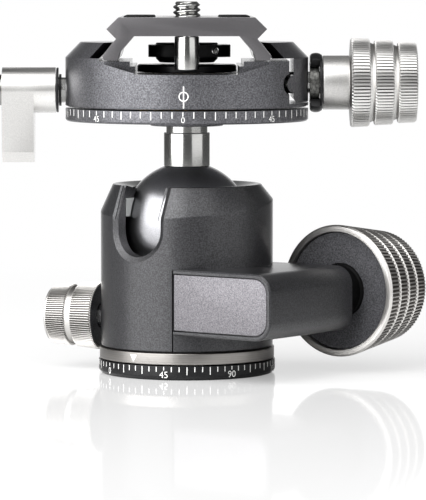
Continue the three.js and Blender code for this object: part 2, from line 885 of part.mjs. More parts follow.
// Spindle that the clamp pans on, with a groove for the lever's brake shoe
function clampSpindle() {
  const groove = spindleRadius - brakeGrooveDepth;
  const boltBore = pivotBoltRadius + seatGap;
  const headBore = pivotHeadRadius + seatGap;
  const profile = [
    [boltBore, spindleBottom],
    [spindleRadius, spindleBottom],
    [spindleRadius, leverAxis - brakeGrooveHalfWidth],
    [groove, leverAxis],
    [spindleRadius, leverAxis + brakeGrooveHalfWidth],
    [spindleRadius, channelFloor],
    [headBore, channelFloor],
    [headBore, pivotHeadBottom - seatGap],
    [boltBore, pivotHeadBottom - seatGap],
    [boltBore, spindleBottom],
  ];
  return mesh('clamp_spindle', turned(profile, innerSides), brass);
}

function pivotBolt() {
  const low = stemNeckTop - pivotBoltDepth + seatGap;
  const profile = [
    [0, low],
    [pivotBoltRadius, low],
    [pivotBoltRadius, pivotHeadBottom],
    [pivotHeadRadius, pivotHeadBottom],
    [pivotHeadRadius, pivotHeadTop],
    [0, pivotHeadTop],
  ];
  return mesh('pivot_bolt', turned(profile, smallSides), polishedSteel);
}

// Round black cap that holds the clamp down on its spindle, with two countersunk screws
function capScrewHole(side, gap) {
  const low = capTop - capScrewDepth - gap;
  return rod(capScrewRadius + gap, low, capTop + overrun).translate(side * capScrewReach, 0, 0);
}

function centreCap() {
  const profile = [
    [0, capBottom],
    [capRadius, capBottom],
    [capRadius, capTop - capEdge],
    [capRadius - capEdge, capTop],
    [0, capTop],
  ];
  const geometry = cut(turned(profile), capScrewHole(-1, seatGap), capScrewHole(1, seatGap));
  return mesh('centre_cap', geometry, blackAnodised);
}

function capScrew(name, side) {
  const geometry = rod(capScrewRadius, capTop - capScrewDepth, capTop - seatGap, smallSides);
  return mesh(name, geometry.translate(side * capScrewReach, 0, 0), polishedSteel);
}

// Dovetail flank shared by the plate and both jaws, at a height above the plate's foot
const flankSlope = (plateToeHalfWidth - plateNeckHalfWidth) / (plateNeckHeight - plateToeHeight);

function flankAt(height, gap) {
  return plateToeHalfWidth + gap - (height - plateFoot - plateToeHeight) * flankSlope;
}

// Outside shape of the clamp: a drum with a bevel round its top
function clampEnvelope(low) {
  return turned([
    [0, low],
    [discRadius, low],
    [discRadius, jawCrease],
    [jawTopRadius, jawTop],
    [0, jawTop],
  ], largeSides);
}

// Wedge cut from a jaw's flank at one end, so that the plate finds its way in
function leadIn(side, end) {
  const from = Math.sqrt(jawTopRadius ** 2 - flankAt(jawTop, jawGap) ** 2) - leadInLength;
  const reach = plateLength / 2 + overrun;
  const flare = (leadInFlare * (reach - from)) / leadInLength;
  const low = bedTop + jawUndercut;
  const outline = (height) => {
    const flank = flankAt(height, jawGap);
    return [[0, from], [flank, from], [flank + flare, reach], [0, reach]];
  };
  return loftedWedge(outline(low), outline(jawTop + overrun), low, jawTop + overrun, side, end);
}

// Joins two four-cornered outlines at two heights into a solid, mirrored to a side and an end
function loftedWedge(lower, upper, low, high, side, end) {
  const corners = [];
  for (const [outline, height] of [[lower, low], [upper, high]]) {
    for (const [x, y] of outline) corners.push(side * x, end * y, height);
  }
  const geometry = new THREE.BufferGeometry();
  geometry.setAttribute('position', new THREE.Float32BufferAttribute(corners, 3));
  const faces = [0, 2, 1, 0, 3, 2, 4, 5, 6, 4, 6, 7];
  for (let i = 0; i < 4; i += 1) {
    const next = (i + 1) % 4;
    faces.push(i, next, 4 + next, i, 4 + next, 4 + i);
  }
  geometry.setIndex(faces);
  return geometry;
}

// Level bore through the clamp, at a height and a distance across it
function clampBore(radius, from, to, across, height) {
  return rod(radius, from, to).rotateY(Math.PI / 2).translate(0, across, height);
}

// Rounded groove or nose along the side of the clamp
function noseOutline(reach, depth, radius) {
  const shape = new THREE.Shape();
  shape.moveTo(reach + overrun, clampScrewAxis - radius);
  shape.absellipse(reach, clampScrewAxis, depth, radius, 1.5 * Math.PI, Math.PI / 2, true);
  shape.lineTo(reach + overrun, clampScrewAxis + radius);
  shape.closePath();
  return shape;
}

// Clamp body with the fixed jaw, the bed for the plate's feet and the bores for its screws
function clampBody() {
  const reach = discRadius + overrun;
  const flankToe = flankAt(plateFoot + plateToeHeight, jawGap);
  const toe = flankToe + jawUndercut;
  const aboveBed = [
    [-flankAt(jawTop + overrun, jawGap), jawTop + overrun],
    [-flankToe, plateFoot + plateToeHeight],
    [-toe, bedTop + jawUndercut],
    [-toe, bedTop],
    [-ledgeHalfWidth, bedTop],
    [-ledgeHalfWidth, bedTop - ledgeStep],
    [-channelHalfWidth, bedTop - ledgeStep],
    [-channelHalfWidth, channelFloor],
    [channelHalfWidth, channelFloor],
    [channelHalfWidth, bedTop - ledgeStep],
    [ledgeHalfWidth, bedTop - ledgeStep],
    [ledgeHalfWidth, bedTop],
    [reach, bedTop],
    [reach, jawTop + overrun],
  ];
  const rimDip = [
    [-rimRampOuter - overrun, bedTop + overrun],
    [-rimRampOuter, bedTop],
    [-channelHalfWidth, bedTop - rimRampDrop],
    [channelHalfWidth, bedTop - rimRampDrop],
    [rimRampOuter, bedTop],
    [rimRampOuter + overrun, bedTop + overrun],
  ];
  const lowLedge = clampBottom + lowLedgeHeight;
  const bore = spindleRadius + runningGap;
  const pinFloor = bodySideReach + jawSideGap - guidePinLength;
  const pocketFloor = bodySideReach - springPocketDepth;
  const pocketRadius = clampWasherRadius + runningGap;
  const pocketTop = clampBottom + clampWasherThickness;
  const washerPocket = rod(pocketRadius, clampBottom - overrun, pocketTop, mediumSides);
  const jawBores = [-1, 1].flatMap((side) => [
    clampBore(guidePinRadius + runningGap, pinFloor, reach, side * guidePinSpread, clampScrewAxis),
    clampBore(springPocketRadius, pocketFloor, reach, side * guidePinSpread, clampScrewAxis),
  ]);
  const geometry = cut(
    clampEnvelope(clampBottom),
    alongY(aboveBed, -reach, reach),
    alongY(rimDip, -reach, rimRampLength - discRadius),
    alongY(rimDip, discRadius - rimRampLength, reach),
    box(bodySideReach, reach, -reach, reach, lowLedge, jawTop),
    alongY(noseOutline(bodySideReach, socketDepth, noseRadius + runningGap), -reach, reach),
    rod(bore, clampBottom - overrun, channelFloor + overrun, mediumSides),
    washerPocket,
    clampBore(leverShaftRadius + runningGap, -reach, 0, 0, leverAxis),
    clampBore(clampScrewRadius + runningGap, 0, reach, 0, clampScrewAxis),
    ...jawBores,
    leadIn(-1, -1),
    leadIn(-1, 1),
  );
  return mesh('clamp_body', geometry, darkAnodised);
}

function clampSlipWasher() {
  const bottom = discTop + seatGap;
  const inner = spindleRadius + runningGap;
  const top = bottom + clampWasherThickness - seatGap;
  const geometry = ring(inner, clampWasherRadius, bottom, top, innerSides);
  return mesh('clamp_slip_washer', geometry, brass);
}

// Moving jaw: a leg outside the body with a rounded nose, and a lip that grips the plate
function movingJaw() {
  const leg = bodySideReach + jawSideGap;
  const foot = clampBottom + lowLedgeHeight + jawFootGap;
  const lip = bedTop + jawLipGap;
  const outer = discRadius + overrun;
  const outline = [
    [flankAt(jawTop, jawGap), jawTop],
    [flankAt(lip + jawUndercut, jawGap), lip + jawUndercut],
    [flankAt(lip + jawUndercut, jawGap), lip],
    [leg, lip],
    [leg, foot + jawFootRadius],
    [leg + jawFootRadius, foot],
    [outer, foot],
    [outer, jawTop],
  ];
  const nose = alongY(noseOutline(leg, noseDepth, noseRadius), -discRadius, discRadius);
  const shape = join(alongY(outline, -discRadius, discRadius), nose);
  const blind = discRadius - guidePinWall;
  const screwHole = clampBore(clampScrewRadius + runningGap, 0, outer, 0, clampScrewAxis);
  const pinHoles = [-1, 1].map((side) => {
    return clampBore(guidePinRadius + seatGap, 0, blind + seatGap, side * guidePinSpread, clampScrewAxis);
  });
  const trimmed = common(shape, clampEnvelope(clampBottom));
  const geometry = cut(trimmed, screwHole, ...pinHoles, leadIn(1, -1), leadIn(1, 1));
  return mesh('moving_jaw', geometry, darkAnodised);
}

function guidePin(name, side) {
  const end = discRadius - guidePinWall - seatGap;
  const start = bodySideReach + jawSideGap - guidePinLength + runningGap;
  const geometry = clampBore(guidePinRadius, start, end, side * guidePinSpread, clampScrewAxis);
  return mesh(name, geometry, polishedSteel);
}

// Spring round a guide pin, drawn as the sleeve that its turns fill
function jawSpring(name, side) {
  const outer = springPocketRadius - seatGap;
  const start = bodySideReach - springPocketDepth + seatGap;
  const end = bodySideReach + jawSideGap - noseDepth - seatGap;
  const geometry = ring(outer - springWall, outer, start, end, smallSides);
  geometry.rotateY(Math.PI / 2).translate(0, side * guidePinSpread, clampScrewAxis);
  return mesh(name, geometry, polishedSteel);
}

// Clamp knob and what turns with it, drawn along the screw from the drum's side
const sleeveEnd = collarStandoff - yokePlate - seatGap;
const collarEnd = collarStandoff + collarLength;
const clampKnobStart = collarEnd + clampKnobStandoff;

function clampScrew() {
  const start = spindleRadius + 3 * runningGap + jawSideGap - discRadius;
  return mesh('clamp_screw', rod(clampScrewRadius, start, clampKnobStart + clampBandLength), polishedSteel);
}

function knobSleeve() {
  const inner = clampScrewRadius + seatGap;
  const geometry = ring(inner, sleeveRadius, runningGap, sleeveEnd - seatGap, smallSides);
  return mesh('knob_sleeve', geometry, satinAluminium);
}

// Black thrust plate whose two lugs reach back over the sleeve
function knobYoke() {
  const plateStart = sleeveEnd;
  const inner = clampScrewRadius + seatGap;
  const plate = ring(inner, yokeRadius, plateStart, plateStart + yokePlate);
  const lug = (middle) => {
    const shape = new THREE.Shape();
    const from = middle - yokeLugHalfAngle;
    const to = middle + yokeLugHalfAngle;
    shape.absarc(0, 0, yokeRadius, from, to, false);
    shape.absarc(0, 0, yokeRadius - yokeLugWidth, to, from, true);
    shape.closePath();
    return upright(shape, plateStart - yokeLugLength, plateStart + yokePlate / 2);
  };
  return mesh('knob_yoke', join(plate, lug(0), lug(Math.PI)), blackAnodised);
}

function knobCollar() {
  const inner = clampScrewRadius + seatGap;
  return mesh('knob_collar', ring(inner, collarRadius, collarStandoff, collarEnd), satinAluminium);
}

// Knob of three knurled bands, each a little smaller than the one before
function clampKnob() {
  const bore = clampScrewRadius + seatGap;
  const floor = clampKnobStart + clampBandLength + seatGap;
  const profile = [[bore, clampKnobStart]];
  let start = clampKnobStart;
  for (const radius of clampBandRadii) {
    const end = start + clampBandLength;
    const root = radius - clampBandGrooveDepth;
    profile.push([root, start], [radius, start + clampBandEdge]);
    profile.push([radius - clampKnobEndDrop / 2, end - clampBandEdge], [root, end]);
    start = end + clampBandGroove;
  }
  const back = start - clampBandGroove;
  const pocket = back - clampKnobCapThickness;
  profile.push(
    [clampKnobCapRadius, back],
    [clampKnobCapRadius, pocket],
    [0, pocket],
    [0, floor],
    [bore, floor],
    [bore, clampKnobStart],
  );
  return mesh('clamp_knob', turned(profile), satinAluminium);
}

function clampKnobCap() {
  const back = clampKnobStart + clampBandRadii.length * (clampBandLength + clampBandGroove) - clampBandGroove;
  const front = back - clampKnobCapThickness + seatGap;
  return mesh('clamp_knob_cap', rod(clampKnobCapRadius - seatGap, front, back - seatGap), satinAluminium);
}

// Lever, its shaft and its brake shoe, drawn along the shaft from the pan axis
const leverWasherStart = discRadius + leverStandoff - leverWasherThickness;
const leverHubStart = discRadius + leverStandoff + seatGap;
const leverHubEnd = leverHubStart + leverHubLength;
const leverShoeInner = spindleRadius + runningGap;
const leverShoeOuter = leverShoeInner + leverShoeLength;

function leverBrakeShoe() {
  const tip = brakeGrooveDepth - seatGap;
  const tipRadius = brakeGrooveHalfWidth / 2;
  const geometry = turned([
    [0, leverShoeInner - tip],
    [tipRadius - seatGap, leverShoeInner - tip / 2],
    [leverShaftRadius - seatGap, leverShoeInner + tipRadius],
    [leverShaftRadius - seatGap, leverShoeOuter],
    [0, leverShoeOuter],
  ], smallSides);
  return mesh('lever_brake_shoe', geometry, acetal);
}

function leverShaft() {
  const end = leverHubStart + leverHubLength / 2;
  return mesh('lever_shaft', rod(leverShaftRadius, leverShoeOuter + seatGap, end), polishedSteel);
}

function leverWasher() {
  const inner = leverShaftRadius + seatGap;
  const end = leverWasherStart + leverWasherThickness;
  return mesh('lever_washer', ring(inner, leverWasherRadius, leverWasherStart, end), blackAnodised);
}

function leverSpringWasher() {
  const inner = leverShaftRadius + seatGap;
  const end = leverWasherStart - seatGap;
  const start = end - leverWasherThickness;
  const geometry = ring(inner, leverSpringWasherRadius, start, end, smallSides);
  return mesh('lever_spring_washer', geometry, blackAnodised);
}

// Lever: a round hub whose outer part grows a flat arm with a bevelled tip
function lever() {
  const hub = rod(leverHubRadius, leverHubStart, leverHubEnd, mediumSides);
  const narrow = leverTipHalfWidth;
  const outline = [
    [0, -leverHubRadius],
    [leverArmDrop - leverTipChamfer, -narrow],
    [leverArmDrop, leverTipChamfer - narrow],
    [leverArmDrop, narrow - leverTipChamfer],
    [leverArmDrop - leverTipChamfer, narrow],
    [0, leverHubRadius],
  ];
  const arm = upright(outline, leverHubEnd - leverArmWidth, leverHubEnd);
  const boreEnd = leverHubStart + leverHubLength / 2 + seatGap;
  const bore = rod(leverShaftRadius + seatGap, leverHubStart - overrun, boreEnd);
  return mesh('lever', cut(join(hub, arm), bore), satinAluminium);
}

function leverCap() {
  const start = leverHubEnd + seatGap;
  return mesh('lever_cap', rod(leverCapRadius, start, start + leverCapThickness - seatGap), polishedSteel);
}

// Camera plate: a dovetail with a slab over an arch, running front to back
function cameraPlate() {
  const half = [
    [plateToeHalfWidth - plateArchInset, plateSlabBottom],
    [plateToeHalfWidth - plateInnerLegInset, plateFoot + plateInnerLegHeight],
    [plateToeHalfWidth - plateInnerFootInset, plateFoot],
    [plateToeHalfWidth - plateFootInset, plateFoot],
    [plateToeHalfWidth, plateFoot + plateToeHeight],
    [plateNeckHalfWidth, plateFoot + plateNeckHeight],
    [plateToeHalfWidth - plateSideInset, plateFoot + plateSideHeight],
    [plateToeHalfWidth - plateTopInset, plateTop],
  ];
  const mirrored = half.map(([x, z]) => [-x, z]).reverse();
  const body = alongY([...half, ...mirrored], -plateLength / 2, plateLength / 2);
  const studTop = plateSlabBottom + stopStudLength + seatGap;
  const pinHoles = [-1, 1].map((end) => {
    const hole = rod(stopStudRadius + seatGap, plateSlabBottom - overrun, studTop, smallSides);
    return hole.translate(0, end * stopPinReach, 0);
  });
  const padSeats = [-1, 1].map((side) => {
    return upright(padOutline(side, -seatGap), plateTop - padDepth, plateTop + overrun);
  });
  const screwBore = rod(screwBoreRadius, plateSlabBottom - overrun, plateTop + overrun);
  return mesh('camera_plate', cut(body, screwBore, ...pinHoles, ...padSeats), darkAnodised);
}

// Rubber pad let into the top of the plate, with round ends
function padOutline(side, inset) {
  const middle = side * (padInnerEdge + padWidth / 2);
  const half = padWidth / 2 - inset;
  const ends = padLength / 2 - inset;
  return roundedOutline(middle - half, middle + half, -ends, ends, half);
}

function platePad(name, side) {
  const geometry = upright(padOutline(side, 0), plateTop - padDepth + seatGap, plateTop + padProud);
  return mesh(name, geometry, blackRubber);
}

// Steel pin that stops the plate from sliding out of the clamp
function stopPin(name, end) {
  const top = plateSlabBottom - seatGap;
  const low = plateSlabBottom - stopPinHeight;
  const profile = [
    [0, low],
    [stopPinRadius - stopPinChamfer, low],
    [stopPinRadius, low + stopPinChamfer],
    [stopPinRadius, top],
    [stopStudRadius, top],
    [stopStudRadius, plateSlabBottom + stopStudLength],
    [0, plateSlabBottom + stopStudLength],
  ];
  return mesh(name, turned(profile, smallSides).translate(0, end * stopPinReach, 0), polishedSteel);
}

const screwHeadTop = plateSlabBottom - screwHeadGap;
const screwHeadBottom = screwHeadTop - screwHeadHeight;

// Camera screw: a plain neck and ridges at the thread's pitch, up to a chamfered end
function cameraScrew() {
  const top = plateTop + threadProud;
  const root = threadRadius - threadDepth;
  const turns = Math.floor((top - plateSlabBottom) / threadPitch);
  const first = top - turns * threadPitch;
  const profile = [
    [0, screwHeadBottom + screwHeadHeight / 2 + seatGap],
    [screwNeckRadius, screwHeadBottom + screwHeadHeight / 2 + seatGap],
    [screwNeckRadius, first],
    [root, first],
  ];
  for (let turn = 0; turn < turns; turn += 1) {
    const start = first + turn * threadPitch;
    profile.push([threadRadius, start + threadPitch / 2], [root, start + threadPitch]);
  }
  profile.push([0, top]);
  return mesh('camera_screw', turned(profile, smallSides), polishedSteel);
}

function ringPinBore(gap, reach) {
  const axis = screwHeadBottom + ringRise + ringThickness / 2;
  return rod(ringPinRadius + gap, -reach, reach).rotateX(-Math.PI / 2).translate(ringPinReach, 0, axis);
}

function screwHead() {
  const profile = [
    [0, screwHeadBottom],
    [screwHeadRadius - screwHeadChamfer, screwHeadBottom],
    [screwHeadRadius, screwHeadBottom + screwHeadChamfer],
    [screwHeadRadius, screwHeadTop],
    [screwNeckRadius + seatGap, screwHeadTop],
    [screwNeckRadius + seatGap, screwHeadBottom + screwHeadHeight / 2],
    [0, screwHeadBottom + screwHeadHeight / 2],
  ];
  const geometry = cut(turned(profile, mediumSides), ringPinBore(seatGap, ringHalfWidth));
  return mesh('camera_screw_head', geometry, blackAnodised);
}

// Finger ring folded flat round the screw's head, on a pin across the head
function fingerRing() {
  const low = screwHeadBottom + ringRise;
  const high = low + ringThickness;
  const half = ringHalfWidth;
  const outline = roundedOutline(-ringLeftReach, ringRightReach, -half, half, ringCornerRadius);
  const hole = rod(screwHeadRadius + runningGap, low - overrun, high + overrun, mediumSides);
  const geometry = cut(upright(outline, low, high), hole, ringPinBore(seatGap, half + overrun));
  return mesh('finger_ring', geometry, blackAnodised);
}

function ringPin() {
  return mesh('ring_pin', ringPinBore(0, ringHalfWidth - ringPinRadius), polishedSteel);
}

// Assembly, from the tripod up
const head = new THREE.Group();

head.add(baseRing(), tripodBushing(), panRingNut(), panSlipWasher());

const housingGroup = new THREE.Group();
housingGroup.rotation.z = housingTurn;
housingGroup.add(housing(), indexRing(), bearingCarrier(), endCover(), upperSeat(), lowerCup(), lockPusher());
housingGroup.add(lockAxisGroup(
  lockWedge(), shaftBush(), lockShaft(), mainKnobCollar(), mainKnobFace(), mainKnobRim(), mainKnobCap(),
));
const panLockGroup = levelAxis(0, 0, panLockHeight, panLockAngle);
panLockGroup.add(panBrakeShoe(), panLockScrew(), panLockKnob(), panKnobFace());
housingGroup.add(panLockGroup);
head.add(housingGroup);

head.add(ball(), ballStem(), graduatedDisc(), clampSpindle(), pivotBolt(), centreCap());
head.add(capScrew('cap_screw_left', -1), capScrew('cap_screw_right', 1));

head.add(clampBody(), clampSlipWasher(), movingJaw());
for (const [end, side] of [['front', -1], ['rear', 1]]) {
  head.add(guidePin(`jaw_guide_pin_${end}`, side), jawSpring(`jaw_spring_${end}`, side));
}
const clampKnobGroup = levelAxis(discRadius, 0, clampScrewAxis, 0);
clampKnobGroup.add(clampScrew(), knobSleeve(), knobYoke(), knobCollar(), clampKnob(), clampKnobCap());
head.add(clampKnobGroup);

const leverGroup = levelAxis(0, 0, leverAxis, Math.PI);
leverGroup.add(leverBrakeShoe(), leverShaft(), leverWasher(), leverSpringWasher(), lever(), leverCap());
head.add(leverGroup);

head.add(cameraPlate(), platePad('plate_pad_left', -1), platePad('plate_pad_right', 1));
head.add(stopPin('front_stop_pin', -1), stopPin('rear_stop_pin', 1));
head.add(cameraScrew(), screwHead(), fingerRing(), ringPin());

// The footprint's middle goes to the origin, with the foot on the ground
head.updateMatrixWorld(true);
const middle = new THREE.Box3().setFromObject(head, true).getCenter(new THREE.Vector3());
head.position.set(-middle.x, -middle.y, 0);

export default head;
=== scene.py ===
import math
import bmesh
import bpy
from mathutils import Matrix, Vector


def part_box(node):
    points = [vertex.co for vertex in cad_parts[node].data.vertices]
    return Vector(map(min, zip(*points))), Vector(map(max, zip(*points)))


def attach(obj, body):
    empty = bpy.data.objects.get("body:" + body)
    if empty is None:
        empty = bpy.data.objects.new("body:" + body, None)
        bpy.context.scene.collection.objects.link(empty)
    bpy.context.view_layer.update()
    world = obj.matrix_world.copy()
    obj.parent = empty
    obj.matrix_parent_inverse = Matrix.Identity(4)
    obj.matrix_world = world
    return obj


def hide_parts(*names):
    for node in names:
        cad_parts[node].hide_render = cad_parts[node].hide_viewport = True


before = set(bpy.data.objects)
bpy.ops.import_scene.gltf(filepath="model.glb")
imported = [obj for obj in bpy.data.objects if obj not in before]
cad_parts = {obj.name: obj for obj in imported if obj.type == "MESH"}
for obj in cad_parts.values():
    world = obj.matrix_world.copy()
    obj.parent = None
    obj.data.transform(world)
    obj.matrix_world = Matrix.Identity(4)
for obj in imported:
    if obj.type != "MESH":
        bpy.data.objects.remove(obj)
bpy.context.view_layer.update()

# Studio
# The head stands on a white glossy table under soft boxes, seen a little from above through
# a long lens. The table fades to white at the back, and keeps the head's shadow and reflection.

MM = 0.001
PAN_AXIS = sum((Vector(corner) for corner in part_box("ball")), Vector()) / 2 / MM
TABLE_HALF = 900
TABLE_WHITE = "#f1f1f1"
FADE_FROM, FADE_TO = 30, 330
FADE_NEAR = 0.3
ROOM_LEVEL = 0.12
BACKDROP_FROM, BACKDROP_TO = 0.88, 1.0
CAMERA_DISTANCE = 830
CAMERA_HEIGHT = 89.1
CAMERA_DROP = 4.18
CAMERA_TURN = 0.42
CAMERA_LENS = 257
SOFT_BOXES = {
    "key_box_left": ((-525, -396, 400), (1010, 860), 13.5),
    "fill_box_right": ((539, -377, 270), (800, 500), 1.7),
    "top_box_front": ((0, -329, 663), (760, 640), 3.6),
}


def linear(code):
    """An sRGB hex colour as linear red, green, blue and full alpha."""
    shares = [int(code[i:i + 2], 16) / 255 for i in (1, 3, 5)]
    return [s / 12.92 if s <= 0.04045 else ((s + 0.055) / 1.055) ** 2.4 for s in shares] + [1]


def add_node(tree, kind, values=None, links=None, **settings):
    """Adds one node with its settings, its sockets' values and what is linked into it."""
    made = tree.nodes.new("ShaderNode" + kind)
    for name, value in settings.items():
        setattr(made, name, value)
    for socket, value in (values or {}).items():
        made.inputs[socket].default_value = value
    for socket, source in (links or {}).items():
        tree.links.new(source, made.inputs[socket])
    return made


def new_finish(name, colour, metallic, roughness):
    """A material whose plain values sit on the shader's own sockets."""
    material = bpy.data.materials.new(name)
    material.use_nodes = True
    shader = material.node_tree.nodes["Principled BSDF"]
    shader.inputs["Base Color"].default_value = linear(colour)
    shader.inputs["Metallic"].default_value = metallic
    shader.inputs["Roughness"].default_value = roughness
    return material, material.node_tree, shader


def seen_plainly(tree, direction):
    """1 for a ray that sees plain white: from the camera, or from a mirror or glass to the backdrop."""
    axes = add_node(tree, "SeparateXYZ", links={0: direction})
    backdrop = add_node(tree, "MapRange", {"From Min": BACKDROP_FROM, "From Max": BACKDROP_TO},
                        {"Value": axes.outputs["Y"]})
    ray = add_node(tree, "LightPath")
    mirrored = add_node(tree, "Math", operation="MAXIMUM", links={
        0: ray.outputs["Is Glossy Ray"], 1: ray.outputs["Is Transmission Ray"]})
    mirrored = add_node(tree, "Math", operation="MULTIPLY", links={
        0: mirrored.outputs["Value"], 1: backdrop.outputs["Result"]})
    return add_node(tree, "Math", operation="MAXIMUM", links={
        0: ray.outputs["Is Camera Ray"], 1: mirrored.outputs["Value"]}).outputs["Value"]


def white_table():
    """White acrylic with a polished face: it mirrors the head's foot, and is plain white further off."""
    material, tree, shader = new_finish("white_glossy_acrylic", TABLE_WHITE, 0, 0.05)
    place = add_node(tree, "TexCoord")
    away = add_node(tree, "VectorMath", links={0: place.outputs["Object"]}, operation="LENGTH")
    share = add_node(tree, "MapRange", {
        "From Min": FADE_FROM * MM, "From Max": FADE_TO * MM, "To Min": FADE_NEAR},
        {"Value": away.outputs["Value"]})
    direction = add_node(tree, "VectorMath", links={0: place.outputs["Object"]},
                         operation="NORMALIZE")
    fade = add_node(tree, "Math", operation="MULTIPLY", links={
        0: share.outputs["Result"], 1: seen_plainly(tree, direction.outputs["Vector"])})
    white = add_node(tree, "Emission", {"Color": linear("#ffffff"), "Strength": 1.0})
    whole = add_node(tree, "MixShader", links={
        "Fac": fade.outputs["Value"], 1: shader.outputs["BSDF"], 2: white.outputs["Emission"]})
    tree.links.new(whole.outputs["Shader"], tree.nodes["Material Output"].inputs["Surface"])
    return material


reach = TABLE_HALF * MM
table_mesh = bpy.data.meshes.new("studio_table")
table_mesh.from_pydata([(-reach, -reach, 0), (reach, -reach, 0), (reach, reach, 0), (-reach, reach, 0)], [],
                       [(0, 1, 2, 3)])
table_mesh.materials.append(white_table())
table = bpy.data.objects.new("studio_table", table_mesh)
bpy.context.scene.collection.objects.link(table)

world = bpy.data.worlds.new("studio_room")
world.use_nodes = True
bpy.context.scene.world = world
room = world.node_tree
looking = add_node(room, "TexCoord")
room_level = add_node(room, "MapRange", {"To Min": ROOM_LEVEL, "To Max": 1.0},
                      {"Value": seen_plainly(room, looking.outputs["Generated"])})
background = room.nodes["Background"]
background.inputs["Color"].default_value = linear("#ffffff")
room.links.new(room_level.outputs["Result"], background.inputs["Strength"])

for name, (place, (wide, high), power) in SOFT_BOXES.items():
    lamp = bpy.data.lights.new(name, "AREA")
    lamp.shape = "RECTANGLE"
    lamp.size = wide * MM
    lamp.size_y = high * MM
    lamp.energy = power
    box = bpy.data.objects.new(name, lamp)
    box.location = Vector(place) * MM
    box.rotation_euler = (PAN_AXIS * MM - box.location).to_track_quat("-Z", "Y").to_euler()
    bpy.context.scene.collection.objects.link(box)

lens = bpy.data.cameras.new("camera")
lens.lens = CAMERA_LENS
lens.clip_end = 10
camera = bpy.data.objects.new("camera", lens)
camera.location = Vector((PAN_AXIS.x, PAN_AXIS.y - CAMERA_DISTANCE, CAMERA_HEIGHT)) * MM
camera.rotation_euler = (math.radians(90 - CAMERA_DROP), 0, math.radians(-CAMERA_TURN))
bpy.context.scene.collection.objects.link(camera)
bpy.context.scene.camera = camera
bpy.context.scene.view_settings.view_transform = "Standard"

# Tripod base
# A turned ring of black anodised aluminium with a white panning scale round its edge. The steel
# bushing pressed into it has the tripod's thread, and a ring nut on its spindle holds the housing down.

BASE_RADIUS, BASE_HEIGHT, BASE_CHAMFER, BASE_ROUND = 20.55, 3.3, 0.8, 0.15
BASE_SPINDLE, BASE_SPINDLE_TOP, BASE_BORE = 11.0, 15.65, 6.45
PAN_LOCK_HEIGHT = 12.5
BRAKE_GROOVE, BRAKE_GROOVE_HALF = 0.8, 1.9
BUSHING_INNER, BUSHING_OUTER, BUSHING_LOW, BUSHING_HIGH = 4.15, 6.3, 0.3, 14.25
TRIPOD_PITCH, TRIPOD_THREAD_DEPTH, TRIPOD_LEAD_IN = 1.5875, 0.7, 0.5
SCALE_STEP, SCALE_NUMBER = 5, 45
BASE_TICKS = {"number": 0.8, "long": 1.8, "short": 1.15}
BASE_NUMBER_SIZE, BASE_NUMBER_HEIGHT, BASE_ZERO = 2.15, 1.25, -60
MARK_HALF, MARK_LIFT, MARK_SINK, NUMBER_THINNING = 0.1, 0.02, 0.12, 0.015
CORNER_SHARE = 0.45
COAT_ROUGHNESS, FLAT_POWER, FLAT_GLOSS = 0.3, 6.0, 0.25
DENT_DARK, DENT_BRIGHT, DENT_RELIEF, PATCH_SIZE = 0.36, 0.68, 0.55, 9
RINGS_RELIEF, ENAMEL_GRAIN = 0.4, 0.3
STEEL, BRASS = ("#a3a3a1", "#7d7d7c", 0.22), ("#b5924c", "#8d6f34", 0.3)
HEAD_PLACE = Matrix.Translation((PAN_AXIS.x * MM, PAN_AXIS.y * MM, 0)) @ Matrix.Scale(MM, 4)


def softened(profile, steps=4):
    """A profile whose corners that carry a third value are rounded by that much."""
    points = []
    for i, corner in enumerate(profile):
        here = Vector(corner[:2])
        soft = corner[2] if len(corner) > 2 else 0
        if not soft:
            points.append(here)
            continue
        before = Vector(profile[i - 1][:2]) - here
        after = Vector(profile[(i + 1) % len(profile)][:2]) - here
        reach = min(soft, CORNER_SHARE * before.length, CORNER_SHARE * after.length)
        start = here + before.normalized() * reach
        end = here + after.normalized() * reach
        for k in range(steps + 1):
            t = k / steps
            points.append(start * (1 - t) ** 2 + here * 2 * t * (1 - t) + end * t * t)
    return points


def turned(profile, sides=128, closed=False, cut=None):
    """A lathe shape about Z. A profile may also be a function that gives one for each angle.

    cut(i, radius, height) gives the radius to which column i is cut down, as for a knurl."""
    work = bmesh.new()
    sunk = work.verts.layers.float.new("sunk")
    fixed = None if callable(profile) else softened(profile)
    columns = []
    for i in range(sides):
        angle = 2 * math.pi * i / sides
        columns.append([])
        for k, (radius, height) in enumerate(fixed or softened(profile(angle))):
            if radius < 1e-6 and i:
                columns[i].append(columns[0][k])
                continue
            reach = cut(i, radius, height) if cut else radius
            columns[i].append(work.verts.new((reach * math.cos(angle), reach * math.sin(angle), height)))
            columns[i][k][sunk] = reach < radius
    rows = len(columns[0])
    for i, column in enumerate(columns):
        other = columns[(i + 1) % sides]
        for k in range(rows if closed else rows - 1):
            up = (k + 1) % rows
            corners = dict.fromkeys((column[k], other[k], other[up], column[up]))
            if len(corners) > 2:
                work.faces.new(corners)
    bmesh.ops.recalc_face_normals(work, faces=work.faces)
    return work


def seat(name, work, place, material, body, *nodes, crease=32):
    """Turns a worked shape into a piece at its place, smooth but for its creases, that rides on a body."""
    mesh = bpy.data.meshes.new(name)
    work.to_mesh(mesh)
    work.free()
    mesh.transform(place)
    mesh.polygons.foreach_set("use_smooth", [True] * len(mesh.polygons))
    mesh.set_sharp_from_angle(angle=math.radians(crease))
    mesh.materials.append(material)
    made = bpy.data.objects.new(name, mesh)
    bpy.context.scene.collection.objects.link(made)
    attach(made, body)
    if nodes:
        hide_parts(*nodes)
    return made


